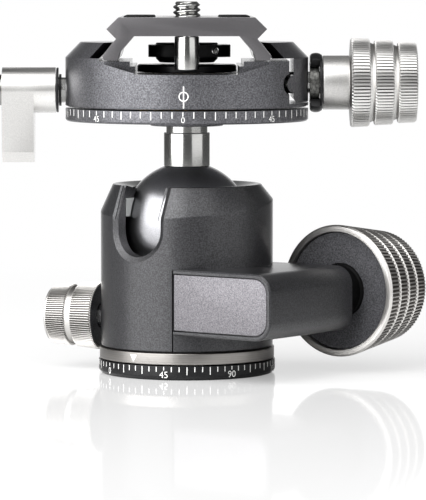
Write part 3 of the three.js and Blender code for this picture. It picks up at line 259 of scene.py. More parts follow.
def blasted_anodised(name, dark, light, roughness, metallic=0.15, grain=0.32, depth=0.032, sheen=0.3,
                     clear=0.0):
    """Anodised aluminium blasted with fine beads: dull, with a speckle of tiny bright dents.

    The oxide layer is a thin clear coat, and a flat view sees it glossier. The grain is drawn at about
    three times a real bead's dent, so that it shows in the render."""
    material, tree, shader = new_finish(name, dark, metallic, roughness)
    shader.inputs["Specular IOR Level"].default_value = sheen
    shader.inputs["Coat Weight"].default_value = clear
    shader.inputs["Coat Roughness"].default_value = COAT_ROUGHNESS
    place = add_node(tree, "TexCoord")
    dents = add_node(tree, "TexNoise", {
        "Scale": 1 / (grain * MM), "Detail": 2.0, "Roughness": 0.6}, {"Vector": place.outputs["Object"]})
    patches = add_node(tree, "TexNoise", {"Scale": 1 / (PATCH_SIZE * MM), "Detail": 1.0},
                       {"Vector": place.outputs["Object"]})
    spread = add_node(tree, "MapRange", {"From Min": DENT_DARK, "From Max": DENT_BRIGHT},
                      {"Value": dents.outputs["Fac"]})
    tint = add_node(tree, "Mix", {6: linear(dark), 7: linear(light)},
                    {0: spread.outputs["Result"]}, data_type="RGBA")
    gloss = add_node(tree, "MapRange", {"To Min": roughness - 0.05, "To Max": roughness + 0.07},
                     {"Value": patches.outputs["Fac"]})
    facing = add_node(tree, "LayerWeight", {"Blend": 0.5})
    flat = add_node(tree, "Math", {1: FLAT_POWER}, {0: facing.outputs["Facing"]}, operation="POWER")
    sharper = add_node(tree, "MapRange", {"To Min": 1.0, "To Max": FLAT_GLOSS},
                       {"Value": flat.outputs["Value"]})
    seen = add_node(tree, "Math", operation="MULTIPLY", links={
        0: gloss.outputs["Result"], 1: sharper.outputs["Result"]})
    relief = add_node(tree, "Bump", {"Strength": DENT_RELIEF, "Distance": depth * MM},
                      {"Height": dents.outputs["Fac"]})
    tree.links.new(tint.outputs[2], shader.inputs["Base Color"])
    tree.links.new(seen.outputs["Value"], shader.inputs["Roughness"])
    tree.links.new(relief.outputs["Normal"], shader.inputs["Normal"])
    return material


def lathe_metal(name, colour, dull, roughness, place=HEAD_PLACE, pitch=0.12, depth=0.006, painted_root_shade=None,
                edge="#ffffff"):
    """Bare metal from the lathe: fine rings at the feed's pitch round its axis, the Z axis of its place.

    Where a knurl is sunk, the roots between its ribs are given a darker colour as painted shade. The edge
    colour dulls what the metal mirrors at a flat angle."""
    origin = place.to_translation()
    direction = place.to_3x3().col[2].normalized()
    material, tree, shader = new_finish(name, colour, 1.0, roughness)
    shader.inputs["Specular Tint"].default_value = linear(edge)
    where = add_node(tree, "TexCoord")
    offset = add_node(tree, "VectorMath", {1: origin}, {0: where.outputs["Object"]},
                      operation="SUBTRACT")
    along = add_node(tree, "VectorMath", {1: direction}, {0: offset.outputs["Vector"]},
                     operation="DOT_PRODUCT")
    sideways = add_node(tree, "VectorMath", {1: direction}, {0: offset.outputs["Vector"]},
                        operation="CROSS_PRODUCT")
    across = add_node(tree, "VectorMath", links={0: sideways.outputs["Vector"]},
                      operation="LENGTH")
    path = add_node(tree, "Math", links={0: across.outputs["Value"], 1: along.outputs["Value"]},
                    operation="ADD")
    rings = add_node(tree, "TexNoise", {"Scale": 1 / (pitch * MM), "Detail": 2.0},
                     {"W": path.outputs["Value"]}, noise_dimensions="1D")
    tint = add_node(tree, "Mix", {6: linear(colour), 7: linear(dull)}, {0: rings.outputs["Fac"]},
                    data_type="RGBA")
    gloss = add_node(tree, "MapRange", {"To Min": roughness - 0.04, "To Max": roughness + 0.08},
                     {"Value": rings.outputs["Fac"]})
    relief = add_node(tree, "Bump", {"Strength": RINGS_RELIEF, "Distance": depth * MM},
                      {"Height": rings.outputs["Fac"]})
    # Painted shade: the sunk roots of a knurl take a darker colour.
    if painted_root_shade:
        knurled = add_node(tree, "Attribute", attribute_name="sunk")
        tint = add_node(tree, "Mix", {7: linear(painted_root_shade)},
                        {0: knurled.outputs["Fac"], 6: tint.outputs[2]}, data_type="RGBA")
    tree.links.new(tint.outputs[2], shader.inputs["Base Color"])
    tree.links.new(gloss.outputs["Result"], shader.inputs["Roughness"])
    tree.links.new(relief.outputs["Normal"], shader.inputs["Normal"])
    return material


def white_enamel():
    """White enamel wiped into engraved marks: chalky, with slightly uneven cover."""
    material, tree, shader = new_finish("white_engraving_enamel", "#f0f0ee", 0, 0.5)
    place = add_node(tree, "TexCoord")
    cover = add_node(tree, "TexNoise", {"Scale": 1 / (ENAMEL_GRAIN * MM)},
                     {"Vector": place.outputs["Object"]})
    tint = add_node(tree, "Mix", {6: linear("#fbfbf9"), 7: linear("#dededc")},
                    {0: cover.outputs["Fac"]}, data_type="RGBA")
    tree.links.new(tint.outputs[2], shader.inputs["Base Color"])
    return material


def bent(radius, arc, height):
    """A point on a cylinder, at an arc from its front and at a height."""
    angle = arc / radius - math.pi / 2
    return lambda lift: ((radius + lift) * math.cos(angle), (radius + lift) * math.sin(angle), height)


def round_stroke(work, radius, points, closed=False):
    """A painted stroke bent round a cylinder. Each point is its arc from the front, height and half width."""
    sections = []
    for i, (arc, height, half) in enumerate(points):
        before = points[i - 1] if closed or i else points[i]
        after = points[(i + 1) % len(points)] if closed or i + 1 < len(points) else points[i]
        step = Vector((after[0] - before[0], after[1] - before[1])).normalized() * half
        edges = [bent(radius, arc - s * step.y, height + s * step.x) for s in (1, -1)]
        corners = [edges[0](MARK_LIFT), edges[1](MARK_LIFT), edges[1](-MARK_SINK), edges[0](-MARK_SINK)]
        sections.append([work.verts.new(corner) for corner in corners])
    for i, section in enumerate(sections if closed else sections[:-1]):
        other = sections[(i + 1) % len(sections)]
        for k in range(4):
            work.faces.new((section[k], section[k - 1], other[k - 1], other[k]))
    if not closed:
        work.faces.new(sections[0])
        work.faces.new(sections[-1][::-1])


def round_number(work, value, radius, angle, middle, size):
    """A number bent round a cylinder, its middle at an angle from the front and at a height."""
    letters = bpy.data.curves.new("number", "FONT")
    letters.body = str(value)
    letters.size = size
    letters.align_x = "CENTER"
    letters.align_y = "CENTER"
    letters.extrude = (MARK_LIFT + MARK_SINK) / 2
    letters.offset = -NUMBER_THINNING
    holder = bpy.data.objects.new("number", letters)
    shape = bpy.data.meshes.new_from_object(holder)
    start = len(work.verts)
    work.from_mesh(shape)
    work.verts.ensure_lookup_table()
    for vert in work.verts[start:]:
        place = bent(radius, math.radians(angle) * radius + vert.co.x, middle + vert.co.y)
        vert.co = Vector(place(vert.co.z + (MARK_LIFT - MARK_SINK) / 2))
    bpy.data.objects.remove(holder)
    bpy.data.curves.remove(letters)
    bpy.data.meshes.remove(shape)


def scale_marks(radius, top, zero, ticks, size, middle):
    """A panning scale: a tick at every step from the ring's top edge, and a number at every 45 degrees."""
    work = bmesh.new()
    for value in range(0, 360, SCALE_STEP):
        kind = "number" if value % SCALE_NUMBER == 0 else "long" if value % (3 * SCALE_STEP) == 0 else "short"
        arc = math.radians(zero + value) * radius
        round_stroke(work, radius, [(arc, top, MARK_HALF), (arc, top - ticks[kind], MARK_HALF)])
        if kind == "number":
            round_number(work, min(value, 360 - value), radius, zero + value, middle, size)
    bmesh.ops.recalc_face_normals(work, faces=work.faces)
    return work


def assign(material, *nodes):
    """Gives CAD nodes that keep their own shape a finer material."""
    for node in nodes:
        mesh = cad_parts[node].data
        mesh.materials.clear()
        mesh.materials.append(material)


# Fine blasting under a black dye gives an even, nearly black satin.
black_anodised = blasted_anodised("black_anodised_aluminium", "#0e0e0f", "#1c1c1e", 0.4, grain=0.22,
                                  depth=0.01)
white_paint = white_enamel()
seat("base_ring_turned", turned([
    (BASE_BORE, 0, 0.3), (BASE_RADIUS - BASE_CHAMFER, 0, 0.25), (BASE_RADIUS, BASE_CHAMFER, 0.25),
    (BASE_RADIUS, BASE_HEIGHT, BASE_ROUND), (BASE_SPINDLE, BASE_HEIGHT),
    (BASE_SPINDLE, PAN_LOCK_HEIGHT - BRAKE_GROOVE_HALF), (BASE_SPINDLE - BRAKE_GROOVE, PAN_LOCK_HEIGHT, 0.6),
    (BASE_SPINDLE, PAN_LOCK_HEIGHT + BRAKE_GROOVE_HALF), (BASE_SPINDLE, BASE_SPINDLE_TOP, 0.2),
    (BASE_BORE, BASE_SPINDLE_TOP, 0.2)], 160, True), HEAD_PLACE, black_anodised, "base", "base_ring")
marks = seat("base_scale_marks", scale_marks(
    BASE_RADIUS, BASE_HEIGHT - BASE_ROUND, BASE_ZERO, BASE_TICKS, BASE_NUMBER_SIZE, BASE_NUMBER_HEIGHT),
    HEAD_PLACE, white_paint, "base")

# Turned steel shines in grey rings, and turned brass in warm yellow ones.
turned_steel = lathe_metal("turned_steel", *STEEL)
turned_brass = lathe_metal("turned_brass", *BRASS)
thread = [(BUSHING_OUTER, BUSHING_LOW, 0.2), (BUSHING_OUTER, BUSHING_HIGH, 0.2)]
for turn in range(int((BUSHING_HIGH - BUSHING_LOW) / TRIPOD_PITCH), 0, -1):
    crest = BUSHING_LOW + turn * TRIPOD_PITCH
    thread += [(BUSHING_INNER, crest), (BUSHING_INNER + TRIPOD_THREAD_DEPTH, crest - TRIPOD_PITCH / 2)]
thread.append((BUSHING_INNER + TRIPOD_LEAD_IN, BUSHING_LOW))
seat("tripod_bushing_threaded", turned(thread, 64, True), HEAD_PLACE, turned_steel, "base", "tripod_bushing")
assign(turned_steel, "pan_ring_nut")
assign(turned_brass, "pan_slip_washer")

# Housing
# Milled and turned from one block of aluminium, blasted and anodised dark grey: a drum with a slanting
# shoulder, a drop notch and a square arm for the lock. A bright index ring and a bearing sit under it.

HOUSING_TURN = math.radians(-36.87)
HOUSING_PLACE = HEAD_PLACE @ Matrix.Rotation(HOUSING_TURN, 4, "Z")
INDEX_INNER, INDEX_OUTER, INDEX_LOW, INDEX_HIGH = 17.05, 20.35, 3.55, 6.15
INDEX_MARK_ANGLE, INDEX_MARK_TOP, INDEX_MARK_TIP = -37, (5.6, 0.9), (4.0, 0.02)
HOUSING_RADIUS = 20.05
HOUSING_FOOT, HOUSING_TOP, HOUSING_CHAMFER = 6.4, 44.0, 0.25
SHOULDER_MIDDLE, SHOULDER_SWING = 39.05, 2.25
RIM_RADIUS, LIP_RADIUS = 17.2, 16.3
MOUTH_RADIUS, MOUTH_HEIGHT, THROAT_RADIUS, THROAT_HEIGHT = 12.55, 43.1, 13.9, 41.2
CAVITY_RADIUS, CAVITY_FLOOR = 16.6, 16.0
ARM_FRONT, ARM_BACK, ARM_REACH = -17.8, 15.1, 36.6
ARM_LOW, ARM_HIGH, ARM_CORNER, ARM_EDGE = 10.3, 25.4, 4.3, 0.35
RECESS_DEPTH, RECESS_INSET, RECESS_CORNER = 1.7, 0.9, 3.65
NOTCH_HALF, NOTCH_BACK, NOTCH_CHAMFER, CHAMFER_TUCK, CHAMFER_SLOPE = 6.1, -5.4, 1.2, 0.6, 0.8
BALL_HEIGHT = PAN_AXIS.z
LOCK_AXIS = (29.6, 19.1)
ARM_BORE, PUSHER_BORE, PAN_LOCK_BORE = 4.6, 2.9, 3.1
PAN_LOCK_TURN = math.radians(197)
SEAM_WIDTH, SEAM_DEPTH, SEAM_STOP = 0.3, 0.45, 0.2
OVERRUN = 2


def rounded(left, right, low, high, radius, steps=8):
    """The corners of a rectangle with round corners."""
    points = []
    for x, y, start in ((right - radius, low + radius, -90), (right - radius, high - radius, 0),
                        (left + radius, high - radius, 90), (left + radius, low + radius, 180)):
        for k in range(steps + 1):
            angle = math.radians(start + 90 * k / steps)
            points.append((x + radius * math.cos(angle), y + radius * math.sin(angle)))
    return points


def round_ended(left, right, low, high, radius, steps=8):
    """The corners of a rectangle whose right corners are round."""
    return rounded(left, right, low, high, radius, steps)[:2 * (steps + 1)] + [(left, high), (left, low)]


def lofted(*rings):
    """A solid through rings of as many corners each, closed at its first and last."""
    work = bmesh.new()
    made = [[work.verts.new(corner) for corner in ring] for ring in rings]
    for low, high in zip(made, made[1:]):
        for i, corner in enumerate(low):
            j = (i + 1) % len(low)
            work.faces.new((corner, low[j], high[j], high[i]))
    work.faces.new(made[0][::-1])
    work.faces.new(made[-1])
    bmesh.ops.recalc_face_normals(work, faces=work.faces)
    return work


def along_y(outline, front, back):
    """A bar along Y whose outline is given in X and Z."""
    return lofted(*[[(x, y, z) for x, z in outline] for y in (front, back)])


def moved(work, place):
    work.transform(place)
    return work


def plain_ring(inner, outer, low, high, low_round=0, high_round=0):
    """The profile of a ring of square section, or of a pin, whose outer corners are rounded."""
    return [(inner, low), (outer, low, low_round), (outer, high, high_round), (inner, high)]


def rod(radius, low, high, sides=48):
    """A plain rod about Z."""
    return turned(plain_ring(0, radius, low, high), sides)


def machined(work, cuts=(), joins=(), edge=0, angle=28, common=(), segments=2):
    """Joins and cuts worked shapes, and breaks the edges that are left by a small round."""
    pieces = []

    def held(shape):
        mesh = bpy.data.meshes.new("work")
        shape.to_mesh(mesh)
        shape.free()
        pieces.append(bpy.data.objects.new("work", mesh))
        bpy.context.scene.collection.objects.link(pieces[-1])
        return pieces[-1]

    body = held(work)
    tools = [(shape, "UNION") for shape in joins] + [(shape, "INTERSECT") for shape in common]
    for shape, operation in tools + [(shape, "DIFFERENCE") for shape in cuts]:
        step = body.modifiers.new("step", "BOOLEAN")
        step.object = held(shape)
        step.operation = operation
        step.solver = "MANIFOLD"
    if edge:
        broken = body.modifiers.new("edge", "BEVEL")
        broken.width = edge
        broken.segments = segments
        broken.limit_method = "ANGLE"
        broken.angle_limit = math.radians(angle)
        broken.miter_outer = "MITER_ARC"
    graph = bpy.context.evaluated_depsgraph_get()
    result = bmesh.new()
    result.from_mesh(body.evaluated_get(graph).to_mesh())
    for piece in pieces:
        mesh = piece.data
        bpy.data.objects.remove(piece)
        bpy.data.meshes.remove(mesh)
    return result


def housing_skin(angle):
    """The housing's profile at an angle: its shoulder is lowest at the notch and highest at the back."""
    shoulder = SHOULDER_MIDDLE + SHOULDER_SWING * math.sin(angle)
    return [
        (HOUSING_RADIUS - HOUSING_CHAMFER, HOUSING_FOOT), (HOUSING_RADIUS, HOUSING_FOOT + HOUSING_CHAMFER),
        (HOUSING_RADIUS, shoulder, 0.25), (RIM_RADIUS, HOUSING_TOP, 0.25), (LIP_RADIUS, HOUSING_TOP, 0.15),
        (MOUTH_RADIUS, MOUTH_HEIGHT, 0.15), (THROAT_RADIUS, THROAT_HEIGHT), (CAVITY_RADIUS, THROAT_HEIGHT),
        (CAVITY_RADIUS, CAVITY_FLOOR), (INDEX_INNER, CAVITY_FLOOR), (INDEX_INNER, HOUSING_FOOT)]


def skin_reach(x, z):
    """How far in front of the pan axis the housing's skin lies at the notch."""
    shoulder = SHOULDER_MIDDLE - SHOULDER_SWING
    fall = max(0, (z - shoulder) / (HOUSING_TOP - shoulder))
    radius = HOUSING_RADIUS - fall * (HOUSING_RADIUS - RIM_RADIUS)
    return math.sqrt(max(radius ** 2 - x ** 2, 1))


def notch_outline(grow, steps=16, rises=12):
    """The notch's outline, grown outwards: a round bottom and two straight sides up through the rim."""
    top = HOUSING_TOP + OVERRUN
    sides = [BALL_HEIGHT + (top - BALL_HEIGHT) * k / rises for k in range(rises, 0, -1)]
    half = NOTCH_HALF + grow
    round_bottom = [(half * math.cos(math.pi * (1 + k / steps)),
                     BALL_HEIGHT + half * math.sin(math.pi * (1 + k / steps)))
                    for k in range(steps + 1)]
    return [(-half, z) for z in sides] + round_bottom + [(half, z) for z in sides[::-1]]


def notch_chamfer():
    """The cutter that breaks the notch's outer edge by an even band, all the way round."""
    rings = []
    for share, grow in ((-1, -CHAMFER_TUCK), (0, 0), (1, NOTCH_CHAMFER), (2, 2 * NOTCH_CHAMFER)):
        depth = NOTCH_CHAMFER * (1 - share) * CHAMFER_SLOPE
        rings.append([(x, -skin_reach(x, z) + depth, z) for x, z in notch_outline(grow)])
    return lofted(*rings)


def housing_shape():
    """The drum and its arm, hollowed for the ball, with the notch, the bores, the cover's seat and a seam."""
    arm = lofted(*[
        [(x, y, z) for x, z in rounded(inset, ARM_REACH - inset, ARM_LOW + inset, ARM_HIGH - inset,
                                       ARM_CORNER - inset)]
        for y, inset in ((ARM_FRONT, ARM_EDGE), (ARM_FRONT + ARM_EDGE, 0), (ARM_BACK - ARM_EDGE, 0),
                         (ARM_BACK, ARM_EDGE))])
    well = turned([
        (0, HOUSING_FOOT - OVERRUN), (INDEX_INNER, HOUSING_FOOT - OVERRUN), (INDEX_INNER, CAVITY_FLOOR),
        (CAVITY_RADIUS, CAVITY_FLOOR), (CAVITY_RADIUS, THROAT_HEIGHT), (0, THROAT_HEIGHT)], 160)
    lying = Matrix.Rotation(math.pi / 2, 4, "Y")
    lock_bore = moved(rod(ARM_BORE, ARM_FRONT + RECESS_DEPTH, ARM_BACK + OVERRUN),
                      Matrix.Translation((LOCK_AXIS[0], 0, LOCK_AXIS[1]))
                      @ Matrix.Rotation(math.pi / 2, 4, "X") @ Matrix.Rotation(math.pi, 4, "X"))
    pusher_bore = moved(rod(PUSHER_BORE, CAVITY_RADIUS - OVERRUN, LOCK_AXIS[0]),
                        Matrix.Translation((0, 0, LOCK_AXIS[1])) @ lying)
    pan_bore = moved(rod(PAN_LOCK_BORE, CAVITY_RADIUS - OVERRUN, HOUSING_RADIUS + OVERRUN),
                     Matrix.Translation((0, 0, PAN_LOCK_HEIGHT)) @ Matrix.Rotation(PAN_LOCK_TURN, 4, "Z")
                     @ lying)
    slot = along_y(notch_outline(0), -HOUSING_RADIUS - OVERRUN, NOTCH_BACK)
    cover_left = math.sqrt(HOUSING_RADIUS ** 2 - ARM_FRONT ** 2)
    recess = along_y(round_ended(cover_left, ARM_REACH - RECESS_INSET, ARM_LOW + RECESS_INSET,
                                 ARM_HIGH - RECESS_INSET, RECESS_CORNER),
                     ARM_FRONT - OVERRUN, ARM_FRONT + RECESS_DEPTH)
    seam_right = cover_left + SEAM_WIDTH / 2
    seam_left = seam_right - SEAM_WIDTH
    seam = along_y([(seam_left, HOUSING_FOOT - OVERRUN), (seam_right, HOUSING_FOOT - OVERRUN),
                    (seam_right, ARM_HIGH - SEAM_STOP), (seam_left, ARM_HIGH - SEAM_STOP)],
                   -HOUSING_RADIUS - OVERRUN, ARM_FRONT + SEAM_DEPTH)
    return machined(turned(housing_skin, 160, True),
                    [well, slot, notch_chamfer(), recess, seam, lock_bore, pusher_bore, pan_bore], [arm])


# The housing is a dark grey with a sparkle, the index ring is bright with coarser rings, and the
# bearing is silver.
dark_blasted = blasted_anodised("bead_blasted_dark_anodised", "#1b1b1d", "#404043", 0.42, metallic=0.6,
                                sheen=0.5, clear=0.5)
brushed_ring = lathe_metal("brushed_index_ring", "#a09d9a", "#7f7c79", 0.34, pitch=0.2)
satin_turned = lathe_metal("satin_turned_aluminium", "#b4b3b0", "#8f8e8b", 0.34)
seat("index_ring_turned", turned(plain_ring(INDEX_INNER, INDEX_OUTER, INDEX_LOW, INDEX_HIGH, 0.2, 0.2),
                                 160, True), HEAD_PLACE, brushed_ring, "housing", "index_ring")
index_mark = bmesh.new()
arc = math.radians(INDEX_MARK_ANGLE) * INDEX_OUTER
round_stroke(index_mark, INDEX_OUTER, [(arc, *INDEX_MARK_TOP), (arc, *INDEX_MARK_TIP)])
seat("index_mark", index_mark, HEAD_PLACE, white_paint, "housing")
assign(satin_turned, "bearing_carrier")
seat("housing_machined", housing_shape(), HOUSING_PLACE, dark_blasted, "housing", "housing")

# Arm's end cover
# A thin aluminium plate pressed into the front of the arm, blasted like the housing and anodised pale.

COVER_LEFT, COVER_RIGHT, COVER_LOW, COVER_HIGH, COVER_CORNER = 9.48, 35.45, 11.45, 24.25, 3.4
COVER_FRONT, COVER_BACK, COVER_EDGE, COVER_BREAK = -17.7, -16.25, 0.25, 0.08

# The same blasting under a thin dye gives a pale, dull grey.
pale_blasted = blasted_anodised("bead_blasted_pale_anodised", "#605e62", "#8b898d", 0.5, metallic=0.4,
                                grain=0.28)
seat("arm_end_cover_plate", lofted(*[
    [(x, y, z) for x, z in round_ended(COVER_LEFT + inset, COVER_RIGHT - inset, COVER_LOW + inset,
                                       COVER_HIGH - inset, COVER_CORNER - inset)]
    for y, inset in ((COVER_FRONT, COVER_EDGE), (COVER_FRONT + COVER_BREAK, COVER_BREAK),
                     (COVER_FRONT + COVER_EDGE, 0), (COVER_BACK, 0))]),
    HOUSING_PLACE, pale_blasted, "housing", "arm_end_cover")

# Seats of the ball and the lock inside the arm
# Two moulded acetal rings hold the ball. A steel pin lifts the lower one when the locking knob's shaft
# draws a tapered steel nut along the arm, and a brass bush carries that shaft.

UP = Vector((0, 0, 1))


def aligned(origin, direction, place=HEAD_PLACE):
    """The place of a piece drawn along Z, put along a level direction, so that its X points up."""
    along = Vector(direction).normalized()
    turn = Matrix((UP, along.cross(UP), along)).transposed().to_4x4()
    return place @ Matrix.Translation(origin) @ turn


def moulded(name, colour, dark, light, roughness, grain, strength, depth, specular=0.5):
    """Moulded plastic or rubber: its colour shifts a little with the grain, and its skin is uneven."""
    material, tree, shader = new_finish(name, colour, 0, roughness)
    shader.inputs["Specular IOR Level"].default_value = specular
    place = add_node(tree, "TexCoord")
    skin = add_node(tree, "TexNoise", {"Scale": 1 / (grain * MM), "Detail": 3.0},
                    {"Vector": place.outputs["Object"]})
    tint = add_node(tree, "Mix", {6: linear(dark), 7: linear(light)}, {0: skin.outputs["Fac"]},
                    data_type="RGBA")
    relief = add_node(tree, "Bump", {"Strength": strength, "Distance": depth * MM},
                      {"Height": skin.outputs["Fac"]})
    tree.links.new(tint.outputs[2], shader.inputs["Base Color"])
    tree.links.new(relief.outputs["Normal"], shader.inputs["Normal"])
    return material


lock_place = aligned((LOCK_AXIS[0], ARM_BACK, LOCK_AXIS[1]), (0, 1, 0), HOUSING_PLACE)
# Pale moulded acetal is waxy, with a soft sheen and faint flow marks. The lock's steel and brass look
# like the base's, with their rings round the lock's own axis.
acetal = moulded("moulded_acetal", "#b9bcbb", "#b2b5b4", "#c6c8c7", 0.48, grain=2.5, strength=0.3, depth=0.01)
lock_steel = lathe_metal("lock_shaft_steel", *STEEL, lock_place)
lock_brass = lathe_metal("lock_bush_brass", *BRASS, lock_place)
assign(acetal, "upper_ball_seat", "lower_ball_cup")
assign(lock_steel, "lock_wedge", "lock_shaft", "lock_pusher")
assign(lock_brass, "lock_shaft_bush")

# Main locking knob
# An aluminium rim that tapers away from the arm, turned with four knurled bands parted by bright grooves, and
# a dished black face let into it. A black flared collar spaces it from the arm, darkened further to
# near-black as painted shade.

KNOB_RADIUS, KNOB_BACK_RADIUS, KNOB_LIP = 15.42, 13.07, 15.0
KNOB_FRONT, KNOB_BACK, KNOB_WEB = 3.4, 21.6, 6.6
KNOB_BEVEL, KNOB_END, KNOB_LAND, KNOB_STEP = 0.5, 0.4, 0.3, 0.05
KNOB_GROOVES = (8.325, 12.75, 17.175)
GROOVE_HALF, GROOVE_WALL, GROOVE_DEPTH, GROOVE_STEP = 0.32, 0.24, 0.5, 0.04
KNOB_FACE_RADIUS, KNOB_FACE_FRONT, KNOB_FACE_DISH = 13.75, 4.4, 5.2
KNOB_FACE_LAND, KNOB_DISH_RADIUS, KNOB_DISH_DROP = 0.5, 11.2, 0.45
KNOB_CAP_RADIUS, KNOB_CAP_FLOOR, KNOB_CAP_TOP = 10.5, 20.0, 21.2
KNOB_CAP_GROOVE, CAP_GROOVE_DEPTH = (8.6, 8.4, 8.0, 7.8), 0.2
COLLAR_FOOT, COLLAR_NECK, COLLAR_FLARE, KNOB_COLLAR_RADIUS = 0.3, 5.6, 4.5, 6.3
KNOB_RIBS, RIB_DEPTH, RIB_COLUMNS, KNURL_SLACK = 101, 0.36, 4, 0.02
SHAFT_BORE = 2.55
FIT_GAP = 0.15


def knurl(crest, depth, lands=2):
    """A straight knurl: past its lands, a rib's columns are sunk wherever the shape reaches its crest."""
    def cut(i, radius, height):
        between = i % RIB_COLUMNS >= lands and radius > crest(height) - KNURL_SLACK
        return radius - depth if between else radius
    return cut


def cap_groove(radii, top, soft):
    """The corners of the shallow groove that is turned into a cap's face."""
    outer, foot, inner_foot, inner = radii
    floor = top - CAP_GROOVE_DEPTH
    return [(outer, top), (foot, floor, soft), (inner_foot, floor, soft), (inner, top)]


def knob_crest(height):
    """The rim's radius over the crests of its ribs, which shrinks away from the arm."""
    start = KNOB_FRONT + KNOB_BEVEL
    return KNOB_RADIUS - (KNOB_RADIUS - KNOB_BACK_RADIUS) * (height - start) / (KNOB_BACK - start)


bevel_end, bands_end = KNOB_FRONT + KNOB_BEVEL, KNOB_BACK - KNOB_END
rim = [(KNOB_FACE_RADIUS, KNOB_FRONT, 0.15), (KNOB_LIP, KNOB_FRONT, 0.1),
       (knob_crest(bevel_end) - KNOB_STEP, bevel_end, 0.1),
       (knob_crest(bevel_end + KNOB_LAND), bevel_end + KNOB_LAND)]
for middle in KNOB_GROOVES:
    rim += [(knob_crest(middle - GROOVE_HALF), middle - GROOVE_HALF),
            (knob_crest(middle) - GROOVE_DEPTH, middle - GROOVE_WALL),
            (knob_crest(middle + GROOVE_WALL) - GROOVE_STEP, middle + GROOVE_WALL),
            (knob_crest(middle + GROOVE_HALF), middle + GROOVE_HALF)]
rim += [(knob_crest(bands_end), bands_end), (knob_crest(KNOB_BACK) - KNOB_END, KNOB_BACK, 0.15),
        (KNOB_CAP_RADIUS, KNOB_BACK, 0.2), (KNOB_CAP_RADIUS, KNOB_CAP_FLOOR), (SHAFT_BORE, KNOB_CAP_FLOOR),
        (SHAFT_BORE, KNOB_WEB), (KNOB_FACE_RADIUS, KNOB_WEB)]
# Bare aluminium is bright on the knurl's crests, with painted shade between them. The face is a coarser,
# charcoal black with a sparkle, and the collar a black darkened to near-black as painted shade, standing in
# for the shadow in the knob's dish.
knob_aluminium = lathe_metal("knurled_aluminium", "#dedcd9", "#cccac7", 0.32, lock_place, painted_root_shade="#6a6562",
                             edge="#a8a8a8")
knob_black = blasted_anodised("blasted_black_knob_face", "#363638", "#5e5e62", 0.5, grain=0.35, depth=0.03)
# Painted shade: the black collar is darkened to a near-black with hardly any sheen, standing in for the
# shadow in the knob's dish.
collar_painted_shade = blasted_anodised("knob_collar_black_painted_shade", "#050505", "#0c0c0d", 0.55, grain=0.22, depth=0.01,
                              sheen=0.1)
seat("main_knob_rim_knurled", turned(rim, KNOB_RIBS * RIB_COLUMNS, True, knurl(knob_crest, RIB_DEPTH)),
     lock_place, knob_aluminium, "main_knob", "main_knob_rim")
face_edge, face_back = KNOB_FACE_RADIUS - FIT_GAP, KNOB_WEB - FIT_GAP
collar_gap = KNOB_COLLAR_RADIUS + FIT_GAP
seat("main_knob_face_dished", turned([
    (collar_gap, face_back), (face_edge, face_back), (face_edge, KNOB_FACE_FRONT, 0.2),
    (face_edge - KNOB_FACE_LAND, KNOB_FACE_FRONT, 0.2),
    (KNOB_DISH_RADIUS, KNOB_FACE_FRONT + KNOB_DISH_DROP, 1.2), (collar_gap, KNOB_FACE_DISH)], 128, True),
    lock_place, knob_black, "main_knob", "main_knob_face")
flare_radius = KNOB_COLLAR_RADIUS - COLLAR_NECK
flare = [(KNOB_COLLAR_RADIUS - flare_radius * math.cos(math.pi * k / 16),
          COLLAR_FLARE + flare_radius * math.sin(math.pi * k / 16)) for k in range(9)]
seat("main_knob_collar_turned", turned(
    [(SHAFT_BORE, COLLAR_FOOT), (COLLAR_NECK, COLLAR_FOOT, 0.2)] + flare
    + [(KNOB_COLLAR_RADIUS, face_back), (SHAFT_BORE, face_back)], 96, True),
    lock_place, collar_painted_shade, "main_knob", "main_knob_collar")
cap_edge, cap_low = KNOB_CAP_RADIUS - FIT_GAP, KNOB_CAP_FLOOR + FIT_GAP
seat("main_knob_cap_turned", turned(
    [(0, cap_low), (cap_edge, cap_low), (cap_edge, KNOB_CAP_TOP, 0.3)]
    + cap_groove(KNOB_CAP_GROOVE, KNOB_CAP_TOP, 0.1) + [(0, KNOB_CAP_TOP)], 96),
    lock_place, knob_black, "main_knob", "main_knob_cap")

# Pan lock
# A small tapered knob, knurled on both sides of one bright sunk ring, on a steel screw that
# presses an acetal shoe against the base's spindle.

PAN_KNOB_INNER, PAN_KNOB_LENGTH = 21.35, 12.3
PAN_KNOB_RADIUS, PAN_KNOB_END = 7.98, 6.73
PAN_RING_WIDTH, PAN_RING_DEPTH = 1.3, 0.45
PAN_RIM, PAN_FACE, PAN_CHAMFER, PAN_LAND = 0.8, 0.9, 0.3, 0.2
PAN_DISH, PAN_DISH_FOOT, PAN_DISH_DEPTH = 4.6, 4.4, 0.3
PAN_INLAY_RADIUS, PAN_INLAY_END = 7.05, 0.75
PAN_SCREW_BORE = 2.95
PAN_RIBS, PAN_RIB_DEPTH = 84, 0.35

pan_direction = (math.cos(PAN_LOCK_TURN), math.sin(PAN_LOCK_TURN), 0)
pan_place = aligned((0, 0, PAN_LOCK_HEIGHT), pan_direction, HOUSING_PLACE)


def pan_crest(height):
    """The small knob's radius over its ribs, which shrinks outwards."""
    return PAN_KNOB_RADIUS - (PAN_KNOB_RADIUS - PAN_KNOB_END) * (height - PAN_KNOB_INNER) / PAN_KNOB_LENGTH


